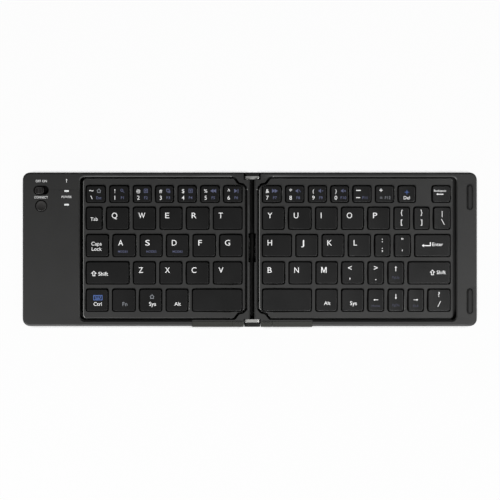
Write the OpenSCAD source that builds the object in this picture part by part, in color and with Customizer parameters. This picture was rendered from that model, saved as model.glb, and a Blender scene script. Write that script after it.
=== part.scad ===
// Folding keyboard, drawn open and flat on its feet, with the key tops up and the number row at the rear.
// Two halves turn about two parallel pins, one in each half, so the right half folds over onto the left.
// Sizes are in millimetres. Inner modules count x from the middle of the hinge, and place() moves
// them to the part's origin.

/* [Keys] */
// Width of a letter key, which also sets the width of both halves
key_w = 14.85; // [12:0.05:18]
// Depth of a letter key, front to rear
key_d = 14.8; // [12:0.1:18]
// Depth of a number key
number_key_d = 11.2; // [9:0.1:14]
// Strip of deck between two keys of a row
key_web = 2.55; // [2:0.05:4]
// Strip of deck between two rows
row_web = 3; // [2:0.1:4.5]
// Gap all round between a key and its hole
key_gap = 0.6; // [0.4:0.02:0.8]
// Corner radius of a key
key_r = 1.3; // [0.8:0.1:2]
// Height of a keycap
key_h = 2.5; // [2.3:0.1:2.6]
// Thickness of the top and the walls of a keycap
key_wall = 1; // [0.8:0.1:1.2]
// Height of the key tops over the rim
key_proud = 0.4; // [0.2:0.05:0.45]
// Distance that a key is pressed down
key_travel = 1.8; // [1.2:0.1:1.8]

/* [Case] */
// Thickness of each half, without its feet
case_t = 6.9; // [6.7:0.1:8.3]
// Width of the side panel with the switch
left_panel_w = 37.25; // [34:0.25:46]
// Width of the side panel with the bumpers
right_panel_w = 13.3; // [11:0.1:18]
// Width of the rim behind the keys
rim_rear = 2.9; // [2.4:0.1:4]
// Width of the rim in front of the keys
rim_front = 4; // [3.8:0.1:5]
// Width of the rim beside the hinge
rim_hinge = 2; // [1.8:0.1:2.6]
// Radius of the outer corners
corner_r = 4.7; // [3.2:0.1:7]
// Thickness of the outer walls of the base
wall_t = 1.6; // [1.2:0.1:2]
// Thickness of the floor of the base
floor_t = 1.2; // [1:0.1:1.4]
// Thickness of the frame round the keys
frame_t = 1.9; // [1.7:0.1:2]
// Thickness of the frame over the side panels
panel_t = 1.2; // [1:0.1:1.4]
// Depth of the deck under the rim
deck_drop = 0.4; // [0.2:0.1:0.6]
// Thickness of the deck
deck_t = 1; // [0.8:0.1:1.2]
// Groove between the rim and the deck, along the rows
groove = 1.15; // [0.8:0.05:1.6]
// Groove between a side panel and the deck
end_groove = 2.2; // [1.4:0.1:3]
// Height of the rubber feet under the base
foot_h = 0.6; // [0.4:0.1:1.2]

/* [Hinge] */
// Gap between the two halves
hinge_gap = 2.8; // [2.6:0.1:3]
// Distance between the two pins
pin_spacing = 7; // [6.9:0.1:8.4]
// Depth of the pins under the rim
pin_drop = 2.9; // [2.8:0.05:2.9]
// Radius of a pin
pin_r = 0.9; // [0.7:0.05:1]
// Radial clearance of a pin in its bracket
pin_fit = 0.04; // [0.02:0.01:0.08]
// Radius of a bracket round its pin
knuckle_r = 1.9; // [1.7:0.05:1.95]
// Half height of a link, and the radius of its ends
link_r = 1.7; // [1.4:0.05:1.8]
// Thickness of a link along the pins
link_t = 2; // [1.5:0.1:2.4]
// Length of the end caps behind the links
end_cap_t = 2.4; // [2:0.1:3]
// Clearance of the turning hinge pieces in the halves
hinge_fit = 0.3; // [0.25:0.01:0.35]
// Length of the sleeve in the middle of the hinge
sleeve_l = 18.3; // [12:0.1:40]
// Length of the front hinge covers
cover_l = 26.2; // [20:0.1:40]
// Distance that the hinge covers stand out of the front
cover_proud = 0.55; // [0.2:0.05:1]

/* [Controls] */
// Size of the power knob: width and depth
knob_size = [6, 4.6]; // [3:0.1:8]
// Distance that the power knob slides
knob_travel = 2.6; // [2:0.1:3]
// Radius of the connect button
button_r = 3.5; // [2.5:0.1:4]
// Distance that the connect button is pressed
button_travel = 0.4; // [0.2:0.1:0.6]
// Size of an indicator light: width and depth
light_size = [3, 1.1]; // [1:0.1:4]

/* [Hidden] */
$fn = 48;
eps = 0.01;

// Heights
base_z = foot_h;
rim_z = base_z + case_t;
floor_z = base_z + floor_t;
split_z = rim_z - frame_t;
deck_z = rim_z - deck_drop;
key_z = rim_z + key_proud;
pin_z = rim_z - pin_drop;
plate_t = 0.8;
plate_z = floor_z + plate_t;
sheet_t = 0.3;
sheet_z = plate_z + sheet_t;
scissor_t = 0.8;
// Clear height left under a pressed key
key_floor_gap = 0.4;
dome_top = key_z - key_wall - key_travel - key_floor_gap;
dome_r = [1.9, 1.2];
// Keys wider than this many letter keys have steadying wires
wide_key = 1.25;
scissor_bar = 0.7;
scissor_gap = 0.4;

// Rows of keys, left to right. A number is a width in letter keys, 0 fills the row and "" is a blank.
LEFT_ROWS = [
  [["number", 0.86], ["number", 0.86], ["number", 0.81], ["number", 0.81], ["number", 0.82],
   ["number", 0.84], ["number", 0]],
  [["edge", 0.72], ["q", 1], ["w", 1], ["e", 0.99], ["r", 1.01], ["t", 0]],
  [["edge", 1], ["a", 1.02], ["s", 0.99], ["d", 0.99], ["f", 1], ["g", 0]],
  [["edge", 1.9], ["z", 0.985], ["x", 0.995], ["c", 1.01], ["v", 0]],
  [["edge", 0.98], ["edge", 1.02], ["edge", 0.99], ["edge", 0.98], ["space", 0]]
];
RIGHT_ROWS = [
  [["number", 0.85], ["number", 0.825], ["number", 0.815], ["number", 0.8], ["number", 0.815],
   ["number", 0.825], ["number", 0.78], ["", 0.37], ["number", 0]],
  [["y", 0.98], ["u", 1.01], ["i", 0.97], ["o", 0.98], ["p", 0.975], ["edge", 0.705], ["edge", 0.69],
   ["edge", 0]],
  [["h", 1.3], ["j", 0.98], ["k", 0.98], ["l", 0.985], ["edge", 0.69], ["edge", 0.72], ["edge", 0]],
  [["b", 1], ["n", 1.01], ["m", 0.96], ["edge", 0.98], ["edge", 0.705], ["edge", 0.71], ["edge", 0]],
  [["space", 2.175], ["edge", 0.96], ["edge", 0.985], ["edge", 0.715], ["edge", 0.7], ["edge", 0.7],
   ["edge", 0]]
];
ROW_COUNT = 5;
left_columns = 6;
right_columns = 7.2;
// The number row stands a little nearer to the row in front of it
number_row_web = row_web - 0.2;
left_keys_w = left_columns * key_w + (left_columns - 1) * key_web;
right_keys_w = right_columns * key_w + (right_columns - 1) * key_web;
keys_d = number_key_d + number_row_web + (ROW_COUNT - 1) * key_d + (ROW_COUNT - 2) * row_web;

// The well in the frame and the deck in it. "u" is the distance from the middle of the hinge, on
// either side.
deck_margin = 1.9;
// Distance from the rear and front edges of the case to the inner edges of the hinge brackets
leaf_l = 2.6;
bracket_reach = end_cap_t + link_t + hinge_fit + leaf_l;
deck_margin_y = bracket_reach - 2.9;
well_u0 = hinge_gap / 2 + rim_hinge;
deck_u0 = well_u0 + groove;
keys_u0 = deck_u0 + deck_margin;
left_deck_u1 = keys_u0 + left_keys_w + deck_margin;
right_deck_u1 = keys_u0 + right_keys_w + deck_margin;
left_w = left_deck_u1 + end_groove + left_panel_w;
right_w = right_deck_u1 + end_groove + right_panel_w;
case_d = rim_rear + rim_front + 2 * groove + 2 * deck_margin_y + keys_d;
well_y1 = case_d / 2 - rim_rear;
well_y0 = -case_d / 2 + rim_front;
well_r = 3;
deck_r = 2.2;
skirt_t = 1;
// Place of the room for the links, from the middle of the hinge
pin_u = pin_spacing / 2;
notch_u = pin_u + link_r + hinge_fit;
// Steps that the well and the deck make round the hinge brackets, from the corner of the well
corner_steps = [[0, 0], [notch_u + 2.1, 0], [notch_u - 0.5, 3.6 - bracket_reach],
                [2.2, 3.2 - bracket_reach], [0, 0.9 - bracket_reach]];

// Hinge
notch_z = pin_z - link_r - hinge_fit;
link_y1 = case_d / 2 - end_cap_t;
link_y0 = link_y1 - link_t;
notch_y = link_y0 - hinge_fit;
knuckle_l = 4;
knuckle_gap = 0.2;
leaf_t = 1;
pocket_y = notch_y - knuckle_l - hinge_fit;
pocket_u = pin_u + knuckle_r + hinge_fit;
leaf_u1 = notch_u + 4.2;
leaf_y0 = notch_y - leaf_l;
rim_chamfer = 0.8;
spine_w = hinge_gap - 2 * hinge_fit;
spine_top = pin_z - 2.3;
sleeve_r = 1.6;
sleeve_y = 0.95;
sleeve_z = pin_z - 2.85;
sleeve_notch_u = 2.45;
cover_u0 = notch_u + 7.5;
cover_u1 = cover_u0 + cover_l;
cover_y = -case_d / 2 + rim_front - 0.7;
cover_gap = 0.05;
// Distances of the covers from the underside and the top of the halves
cover_inset = [0.3, 0.1];

// Side panel with the controls: distances from its outer edge, and from the rear edge of the case
control_u = left_w - 12.1;
light_u = left_w - 28.7;
knob_y = case_d / 2 - 11.6;
button_y = case_d / 2 - 21.8;
button_fit = 0.35;
button_flange = 0.9;
button_t = 0.7;
light_ys = [case_d / 2 - 12.05, case_d / 2 - 21];
knob_gap = 0.6;
recess_size = [knob_size[0] + knob_travel + 2 * knob_gap, knob_size[1] + 2 * knob_gap];
knob_start = -knob_travel / 2;
knob_sink = 0.25;
knob_flange = [knob_size[0] + 2 * knob_travel + 2, recess_size[1] + 1.6];
light_gap = 0.1;
light_flange = 1.2;
light_flange_t = 0.5;
light_clear = 0.8;
panel_floor_z = rim_z - panel_t;
flange_t = 0.3;
flange_gap = 0.2;

// Bumpers, feet and screws
bumper_w = 3.8;
bumper_l = 16.5;
bumper_h = 0.9;
bumper_sink = 0.3;
bumper_gap = 0.05;
bumper_u = right_w - 4.6;
bumper_ys = [case_d / 2 - 16.3, -case_d / 2 + 16.1];
foot_r = 4;
foot_sink = 0.3;
foot_inset = [12, 12];
screw_r = 0.75;
screw_head_r = 1.5;
screw_head_h = 0.6;
screw_gap = 0.05;
screw_end_gap = 0.2;
post_r = 2;
post_inset = 5;
post_h = split_z - 0.6 - floor_z;
bracket_screw = [notch_u + 2.1, notch_y - 1.3];

// Electronics
board_t = 0.8;
board_top = panel_floor_z - 3.4;
board_z = board_top - board_t;
board_u = [left_w - left_panel_w + 3, left_w - wall_t - 1];
board_y = [case_d / 2 - 40, case_d / 2 - 8.4];
standoff_r = 1.2;
standoff_inset = 2;
slide_switch = [9, 3.6, 1.7];
push_switch = [4.4, 4.4, 1.5];
lamp = [2.2, 1.2, 0.5];
processor = [6, 6, 0.9];
radio = [3.4, 5, 1.4];
stem_r = 0.8;
stem_gap = 0.2;
port_size = [5.2, 7.6, 2.4];
port_y = case_d / 2 - 31;
port_wall = 0.3;
port_fit = 0.15;
battery_t = 3.2;
battery_gap = 3.5;

hinge_x = (left_w - right_w) / 2;
shift_y = cover_proud / 2;

LETTERS = ["q", "w", "e", "r", "t", "y", "u", "i", "o", "p", "a", "s", "d", "f", "g", "h", "j", "k", "l",
           "z", "x", "c", "v", "b", "n", "m"];

// Colours
shell_color = "#30302f";
deck_color = "#353534";
key_color = "#242424";
rubber_color = "#3a3a38";
steel_color = "#b9b8b4";
cap_color = "#3d3e38";

// ---- Lists of keys. Each is [label, x, y, width, depth], from the middle of the hinge.
function sum_to(v, n) = n <= 0 ? 0 : v[n - 1] + sum_to(v, n - 1);

function key_widths(row, total) =
  let (known = [for (key = row) key[1] * key_w],
       rest = total - sum_to(known, len(row)) - (len(row) - 1) * key_web)
  [for (w = known) w > 0 ? w : rest];

function row_depth(r) = r == 0 ? number_key_d : key_d;

function row_front(r) =
  well_y1 - groove - deck_margin_y - number_key_d
  - (r == 0 ? 0 : number_row_web + key_d + (r - 1) * (key_d + row_web));

function keys_of(rows, x0, total) =
  [for (r = [0 : ROW_COUNT - 1])
    let (row = rows[r], w = key_widths(row, total))
    for (i = [0 : len(row) - 1])
      if (row[i][0] != "")
        [row[i][0], x0 + sum_to(w, i) + i * key_web, row_front(r), w[i], row_depth(r)]];

left_keys = keys_of(LEFT_ROWS, -keys_u0 - left_keys_w, left_keys_w);
right_keys = keys_of(RIGHT_ROWS, keys_u0, right_keys_w);

// ---- Helpers
// Moves what is drawn round the middle of the hinge to the part's own origin.
module place() {
  translate([hinge_x, shift_y, 0]) children();
}

// Draws a half's piece, made on the right of the hinge, on the left of it.
module on_left() {
  mirror([1, 0, 0]) children();
}

// Draws its children at the rear and, mirrored, at the front.
module rear_and_front() {
  for (m = [0, 1]) mirror([0, m, 0]) children();
}

// Box between two corners.
module box(a, b) {
  translate(a) cube(b - a);
}

// Rectangle with round corners between two corners.
module round_rect(a, b, r) {
  translate([a[0] + r, a[1]]) square([b[0] - a[0] - 2 * r, b[1] - a[1]]);
  translate([a[0], a[1] + r]) square([b[0] - a[0], b[1] - a[1] - 2 * r]);
  for (x = [a[0] + r, b[0] - r], y = [a[1] + r, b[1] - r]) translate([x, y]) circle(r);
}

// Extrusion from one height to another.
module slab(z0, z1) {
  translate([0, 0, z0]) linear_extrude(z1 - z0) children();
}

// Bar along y whose section, in x and z, is drawn by its children.
module bar_y(y0, y1) {
  translate([0, y1, 0]) rotate([90, 0, 0]) linear_extrude(y1 - y0) children();
}

// Outline of a half, seen from above.
module case_outline(w) {
  difference() {
    union() {
      round_rect([hinge_gap / 2, -case_d / 2], [w, case_d / 2], corner_r);
      translate([hinge_gap / 2, -case_d / 2]) square([2 * corner_r, case_d]);
    }
    translate([0, -case_d]) square([cover_u1 + cover_gap, case_d + cover_y]);
  }
}

// Rectangle with round outer corners and stepped corners beside the hinge.
module well_outline(a, b, r) {
  difference() {
    round_rect(a, b, r);
    translate([a[0], b[1]]) polygon(corner_steps);
    translate(a) mirror([0, 1]) polygon(corner_steps);
  }
}

module deck_outline(u1, inset, r) {
  well_outline([deck_u0 + inset, well_y0 + groove + inset], [u1 - inset, well_y1 - groove - inset], r);
}

// Room that both halves leave for the links and the end caps.
module link_notches() {
  rear_and_front() box([0, notch_y, notch_z], [notch_u, case_d, rim_z + eps]);
}

// Room that both halves leave for the sleeve.
module sleeve_notch() {
  box([0, sleeve_y - sleeve_l / 2 - hinge_fit, base_z - eps],
      [sleeve_notch_u, sleeve_y + sleeve_l / 2 + hinge_fit, rim_z + eps]);
}

// Places of the screws that hold a half together.
function screw_places(w, inner_u) =
  [for (s = [-1, 1])
    for (u = inner_u > 0 ? [w - post_inset, inner_u] : [w - post_inset])
      [u, s * (case_d / 2 - post_inset)]];

function foot_places(w) =
  [for (u = [notch_u + foot_inset[0] + foot_r, w - foot_inset[0]], s = [-1, 1])
    [u, s * (case_d / 2 - foot_inset[1])]];

left_posts = screw_places(left_w, left_w - left_panel_w + 3.2);
right_posts = screw_places(right_w, 0);
bracket_screws = [for (s = [-1, 1]) [bracket_screw[0], s * bracket_screw[1]]];

// ---- Pieces that both halves have
module base_shell(w, posts) {
  difference() {
    slab(base_z, split_z) case_outline(w);
    slab(floor_z, split_z + eps) difference() {
      round_rect([well_u0, -case_d / 2 + wall_t], [w - wall_t, case_d / 2 - wall_t], corner_r - wall_t);
      translate([0, -case_d]) square([cover_u1 + wall_t, case_d + well_y0]);
      rear_and_front() translate([0, notch_y]) square([notch_u + floor_t, case_d]);
    }
    link_notches();
    sleeve_notch();
    rear_and_front() box([0, pocket_y, floor_z], [pocket_u, notch_y + eps, split_z + eps]);
    for (p = concat(posts, bracket_screws)) translate([p[0], p[1], base_z - eps]) {
      cylinder(r = screw_r + screw_gap, h = floor_t + 2 * eps);
      cylinder(r = screw_head_r + screw_gap, h = screw_head_h + eps);
    }
    for (p = foot_places(w)) translate([p[0], p[1], base_z - eps])
      cylinder(r = foot_r + screw_gap, h = foot_sink + eps);
    children();
  }
}

module frame_shell(w, u1, posts) {
  difference() {
    slab(split_z, rim_z) difference() {
      case_outline(w);
      well_outline([well_u0, well_y0], [u1 + end_groove, well_y1], well_r);
    }
    link_notches();
    sleeve_notch();
    // Room over the brackets
    rear_and_front() box([0, pocket_y, split_z - eps],
                         [pocket_u, notch_y + eps, pin_z + knuckle_r + knuckle_gap]);
    // Slanted edge that clears the other half while the halves turn
    bar_y(-case_d, case_d) polygon([
      [0, rim_z + eps], [hinge_gap / 2 + rim_chamfer, rim_z + eps], [hinge_gap / 2, rim_z - rim_chamfer],
      [0, rim_z - rim_chamfer]]);
    // Hollow under the side panel
    slab(split_z - eps, panel_floor_z)
      round_rect([u1 + end_groove + wall_t, -case_d / 2 + wall_t], [w - wall_t, case_d / 2 - wall_t],
                 corner_r - wall_t);
    children();
  }
  for (p = posts) translate([p[0], p[1], 0]) difference() {
    slab(floor_z, panel_floor_z) circle(post_r);
    slab(floor_z - eps, floor_z + post_h) circle(screw_r + screw_gap);
  }
}

module deck_with_holes(keys) {
  difference() {
    children();
    for (k = keys) slab(plate_z, deck_z + eps) key_outline(k, -key_gap / 2, key_r + key_gap / 2);
  }
}

module deck_body(u1) {
  difference() {
    slab(plate_z, deck_z) deck_outline(u1, 0, deck_r);
    slab(plate_z - eps, deck_z - deck_t) deck_outline(u1, skirt_t, deck_r - skirt_t / 2);
  }
}

module support_plate_body(u1) {
  slab(floor_z, plate_z) deck_outline(u1, 0, deck_r);
}

module dome_sheet_body(u1) {
  slab(plate_z, sheet_z) deck_outline(u1, skirt_t + 0.2, deck_r - skirt_t / 2);
}

module key_outline(k, inset, r) {
  round_rect([k[1] + inset, k[2] + inset], [k[1] + k[3] - inset, k[2] + k[4] - inset], r);
}

module at_key_centre(k) {
  translate([k[1] + k[3] / 2, k[2] + k[4] / 2, 0]) children();
}

module keycap(k) {
  difference() {
    slab(key_z - key_h, key_z) key_outline(k, key_gap / 2, key_r);
    slab(key_z - key_h - eps, key_z - key_wall)
      key_outline(k, key_gap / 2 + key_wall, key_r / 2);
  }
}

module keycaps(keys, label) {
  for (k = keys) if (k[0] == label) keycap(k);
}

// Rubber dome, as low as a pressed key makes it.
module dome(k) {
  at_key_centre(k) translate([0, 0, sheet_z - eps])
    cylinder(r1 = dome_r[0], r2 = dome_r[1], h = dome_top - sheet_z + eps);
}

// Scissor frame, folded flat as it lies under a pressed key, and the wire that steadies a wide key.
module scissor(k) {
  bar = scissor_bar;
  margin = key_gap / 2 + key_wall + scissor_gap;
  size = [min(k[3], key_w) - 2 * margin, k[4] - 2 * margin];
  inner = size - [2 * bar, 2 * bar];
  at_key_centre(k) slab(sheet_z, sheet_z + scissor_t) difference() {
    square(size, center = true);
    square(inner, center = true);
  }
  if (k[3] > wide_key * key_w) at_key_centre(k) for (s = [-1, 1])
    box([s * (k[3] / 2 - margin - bar / 2) - bar / 2, -inner[1] / 2, sheet_z],
        [s * (k[3] / 2 - margin - bar / 2) + bar / 2, inner[1] / 2, sheet_z + scissor_t]);
}

module bracket() {
  rear_and_front() difference() {
    union() {
      bar_y(notch_y - knuckle_l, notch_y) {
        translate([pin_u, pin_z]) circle(knuckle_r);
        translate([pin_u - knuckle_r, floor_z]) square([2 * knuckle_r, pin_z - floor_z]);
      }
      box([pin_u, leaf_y0, floor_z], [leaf_u1, notch_y, floor_z + leaf_t]);
    }
    bar_y(notch_y - knuckle_l - eps, notch_y + eps) translate([pin_u, pin_z]) circle(pin_r + pin_fit);
    translate([bracket_screw[0], bracket_screw[1], floor_z - eps])
      cylinder(r = screw_r + screw_gap, h = leaf_t + 2 * eps);
  }
}

// Cover strip and corner block at the front of a half.
module front_covers() {
  for (u = [[notch_u, cover_u0 - cover_gap], [cover_u0, cover_u1]])
    box([u[0], -case_d / 2 - cover_proud, base_z + cover_inset[0]],
        [u[1], cover_y - cover_gap, rim_z - cover_inset[1]]);
}

module screw(p, h) {
  translate([p[0], p[1], base_z]) {
    cylinder(r = screw_head_r, h = screw_head_h - eps);
    cylinder(r = screw_r, h = h);
  }
}

module screws(posts) {
  for (p = posts) screw(p, floor_t + post_h - screw_end_gap);
  for (p = bracket_screws) screw(p, floor_t + leaf_t + 2 * screw_end_gap);
}

module feet(w) {
  for (p = foot_places(w)) translate([p[0], p[1], 0]) cylinder(r = foot_r, h = foot_h + foot_sink - eps);
}

// ---- Left half
module left_base() color(shell_color) place() on_left()
  base_shell(left_w, left_posts) {
    box([left_w - 2 * wall_t, port_y - port_size[1] / 2 - port_fit, board_top - port_fit],
        [left_w + eps, port_y + port_size[1] / 2 + port_fit, board_top + port_size[2] + port_fit]);
  }

module left_frame() color(shell_color) place() on_left()
  frame_shell(left_w, left_deck_u1, left_posts) {
    slab(split_z, rim_z + eps) translate([control_u, knob_y])
      round_rect(-recess_size / 2, recess_size / 2, recess_size[1] / 2 - eps);
    translate([control_u, button_y, split_z]) cylinder(r = button_r + button_fit, h = frame_t + eps);
    for (y = light_ys) slab(split_z, rim_z + eps) translate([light_u, y])
      square(light_size + [light_gap, light_gap], center = true);
  }

module left_deck() color(deck_color) place()
  deck_with_holes(left_keys) on_left() deck_body(left_deck_u1);

module left_support_plate() color(steel_color) place() on_left() support_plate_body(left_deck_u1);

module left_dome_sheet() color(rubber_color) place() {
  on_left() dome_sheet_body(left_deck_u1);
  for (k = left_keys) dome(k);
}

module left_scissor_frames() color(steel_color) place() for (k = left_keys) scissor(k);

module left_hinge_brackets() color(steel_color) place() on_left() bracket();

module left_hinge_covers() color(cap_color) place() on_left() front_covers();

module left_screws() color(steel_color) place() on_left() screws(left_posts);

module left_feet() color(rubber_color) place() on_left() feet(left_w);

// ---- Right half
module right_base() color(shell_color) place() base_shell(right_w, right_posts);

module right_frame() color(shell_color) place()
  frame_shell(right_w, right_deck_u1, right_posts) {
    for (y = bumper_ys) translate([bumper_u, y]) slab(rim_z - bumper_sink, rim_z + eps)
      bumper_outline(bumper_gap);
  }

module right_deck() color(deck_color) place()
  deck_with_holes(right_keys) deck_body(right_deck_u1);

module right_support_plate() color(steel_color) place() support_plate_body(right_deck_u1);

module right_dome_sheet() color(rubber_color) place() {
  dome_sheet_body(right_deck_u1);
  for (k = right_keys) dome(k);
}

module right_scissor_frames() color(steel_color) place() for (k = right_keys) scissor(k);

module right_hinge_brackets() color(steel_color) place() bracket();

module right_hinge_covers() color(cap_color) place() front_covers();

module right_screws() color(steel_color) place() screws(right_posts);

module bumper_outline(gap) {
  half = [bumper_w / 2 + gap, bumper_l / 2 + gap];
  round_rect(-half, half, half[0] - eps);
}

// Feet under the half and the bumpers that keep the folded halves apart.
module right_pads() color(rubber_color) place() {
  feet(right_w);
  for (y = bumper_ys) translate([bumper_u, y]) slab(rim_z - bumper_sink + eps, rim_z + bumper_h)
    bumper_outline(0);
}

// ---- Electronics and controls in the left side panel
// Block that stands on the circuit board.
module on_board(at, size) {
  translate([at[0] - size[0] / 2, at[1] - size[1] / 2, board_top]) cube(size);
}

module main_board() color("#1f4a33") place() on_left() {
  box([board_u[0], board_y[0], board_z], [board_u[1], board_y[1], board_top]);
  // Standoffs
  for (u = [board_u[0] + standoff_inset, board_u[1] - standoff_inset],
       y = [board_y[0] + standoff_inset, board_y[1] - standoff_inset])
    translate([u, y, floor_z]) cylinder(r = standoff_r, h = board_z - floor_z);
  on_board([control_u, knob_y], slide_switch);
  on_board([control_u, button_y], push_switch);
  for (y = light_ys) on_board([light_u, y], lamp);
  on_board([light_u + 4, board_y[0] + 8], processor);
  on_board([light_u - 2.3, board_y[0] + 3.5], radio);
  // Charging port
  translate([left_w - 0.1 - port_size[0], port_y - port_size[1] / 2, board_top]) difference() {
    cube(port_size);
    translate([1, port_wall, port_wall]) cube(port_size - [0, 2 * port_wall, 2 * port_wall]);
  }
}

module battery() color("#8f9296") place() on_left()
  slab(floor_z, floor_z + battery_t)
    round_rect([board_u[0] + 0.5, -case_d / 2 + 8], [board_u[1] - 1.5, board_y[0] - battery_gap], 1);

// Slides towards the hinge to switch on.
module power_knob() color(rubber_color) place() on_left()
  translate([control_u - knob_start, knob_y]) {
    slab(panel_floor_z - flange_gap - flange_t, rim_z - knob_sink)
      round_rect(-knob_size / 2, knob_size / 2, knob_size[1] / 2 - 0.7);
    slab(panel_floor_z - flange_gap - flange_t, panel_floor_z - flange_gap)
      square(knob_flange, center = true);
    slab(board_top + slide_switch[2] + stem_gap, panel_floor_z - flange_gap) circle(stem_r);
  }

module connect_button() color(rubber_color) place() on_left()
  translate([control_u, button_y]) {
    slab(panel_floor_z - button_t, rim_z - cover_gap) circle(button_r);
    slab(panel_floor_z - button_t, panel_floor_z - flange_gap) circle(button_r + button_flange);
    slab(board_top + push_switch[2] + button_travel + stem_gap, panel_floor_z - flange_gap) circle(stem_r);
  }

module indicator_lights() color("#f4f6f6") place() on_left()
  for (y = light_ys) translate([light_u, y]) {
    slab(board_top + light_clear, rim_z) square(light_size, center = true);
    slab(panel_floor_z - light_flange_t, panel_floor_z - eps)
      square(light_size + [light_flange, light_flange], center = true);
  }

// ---- Hinge
module link_section(r) {
  for (s = [-1, 1]) translate([s * pin_u, pin_z]) circle(r);
  translate([-pin_u, pin_z - r]) square([2 * pin_u, 2 * r]);
}

// A link at each end of the hinge, with its two pins.
module hinge_links() color(steel_color) place() rear_and_front() {
  bar_y(link_y0, link_y1) link_section(link_r);
  bar_y(notch_y - knuckle_l, link_y0 + eps)
    for (s = [-1, 1]) translate([s * pin_u, pin_z]) circle(pin_r);
  box([-spine_w / 2, link_y0, spine_top], [spine_w / 2, link_y1, pin_z]);
}

module hinge_end_caps() color(cap_color) place() {
  bar_y(link_y1 + eps, case_d / 2) link_section(link_r);
  bar_y(-case_d / 2 - cover_proud, -link_y1 - eps) link_section(link_r);
}

// Bar that joins the two links, with the sleeve over the cable in its middle.
module hinge_spine() color(cap_color) place() {
  box([-spine_w / 2, -link_y1, base_z], [spine_w / 2, link_y1, spine_top - eps]);
  bar_y(sleeve_y - sleeve_l / 2, sleeve_y + sleeve_l / 2) {
    translate([-sleeve_r, base_z]) square([2 * sleeve_r, sleeve_z - base_z]);
    translate([0, sleeve_z]) circle(sleeve_r);
  }
}

// ---- Keys
module left_number_keys() color(key_color) place() keycaps(left_keys, "number");
module left_edge_keys() color(key_color) place() keycaps(left_keys, "edge");
module left_space_key() color(key_color) place() keycaps(left_keys, "space");
module right_number_keys() color(key_color) place() keycaps(right_keys, "number");
module right_edge_keys() color(key_color) place() keycaps(right_keys, "edge");
module right_space_key() color(key_color) place() keycaps(right_keys, "space");
module letter_key(name) color(key_color) place() keycaps(concat(left_keys, right_keys), name);

left_base();
left_frame();
left_deck();
left_support_plate();
left_dome_sheet();
left_scissor_frames();
left_hinge_brackets();
left_hinge_covers();
left_screws();
left_feet();
right_base();
right_frame();
right_deck();
right_support_plate();
right_dome_sheet();
right_scissor_frames();
right_hinge_brackets();
right_hinge_covers();
right_screws();
right_pads();
main_board();
battery();
power_knob();
connect_button();
indicator_lights();
hinge_links();
hinge_end_caps();
hinge_spine();
left_number_keys();
left_edge_keys();
left_space_key();
right_number_keys();
right_edge_keys();
right_space_key();
for (name = LETTERS) letter_key(name);
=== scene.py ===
"""Looks of the folding keyboard, built round its packed construction model."""

import functools
import math

import bmesh
import bpy
from mathutils import Matrix, Vector


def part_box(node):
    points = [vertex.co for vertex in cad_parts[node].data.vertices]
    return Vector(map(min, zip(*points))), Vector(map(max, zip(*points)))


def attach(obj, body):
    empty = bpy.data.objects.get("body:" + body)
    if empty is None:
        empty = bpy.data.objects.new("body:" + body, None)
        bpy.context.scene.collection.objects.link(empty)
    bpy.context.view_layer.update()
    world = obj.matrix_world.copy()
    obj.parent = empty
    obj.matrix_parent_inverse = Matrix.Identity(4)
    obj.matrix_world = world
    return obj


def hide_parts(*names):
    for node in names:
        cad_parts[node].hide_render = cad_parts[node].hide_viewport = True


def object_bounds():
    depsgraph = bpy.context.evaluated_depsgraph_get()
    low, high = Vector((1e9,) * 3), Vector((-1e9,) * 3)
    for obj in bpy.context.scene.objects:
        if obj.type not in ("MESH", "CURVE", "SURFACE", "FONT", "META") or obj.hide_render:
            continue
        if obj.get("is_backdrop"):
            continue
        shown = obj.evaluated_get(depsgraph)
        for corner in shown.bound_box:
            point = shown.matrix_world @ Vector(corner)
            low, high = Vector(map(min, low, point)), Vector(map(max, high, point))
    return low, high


bl_info = {
    "name": "Folding keyboard",
    "version": (1, 0, 0),
    "blender": (4, 5, 0),
    "location": "View3D > Sidebar > Keyboard",
    "description": "Builds the finished surfaces of a folding keyboard round its construction model",
    "category": "Object",
}

MM = 0.001
TINY = 1e-6
# Which way each half lies from the hinge.
SIDES = {"left": -1, "right": 1}

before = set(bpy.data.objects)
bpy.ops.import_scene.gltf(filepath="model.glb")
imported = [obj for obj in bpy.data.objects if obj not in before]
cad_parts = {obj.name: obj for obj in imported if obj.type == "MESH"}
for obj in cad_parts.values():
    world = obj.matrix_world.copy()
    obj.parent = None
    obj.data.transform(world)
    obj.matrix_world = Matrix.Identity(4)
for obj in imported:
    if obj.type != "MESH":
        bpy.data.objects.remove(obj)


# ---------------------------------------------------------------- Properties


def length(name, description, default_mm):
    return bpy.props.FloatProperty(
        name=name, description=description, default=default_mm * MM, min=0.0,
        precision=5, unit="LENGTH", subtype="DISTANCE",
    )


def colour(name, description, default):
    return bpy.props.FloatVectorProperty(
        name=name, description=description, default=default, size=3, min=0.0, max=1.0,
        subtype="COLOR",
    )


def strength(name, description, default):
    return bpy.props.FloatProperty(name=name, description=description, default=default)


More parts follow.
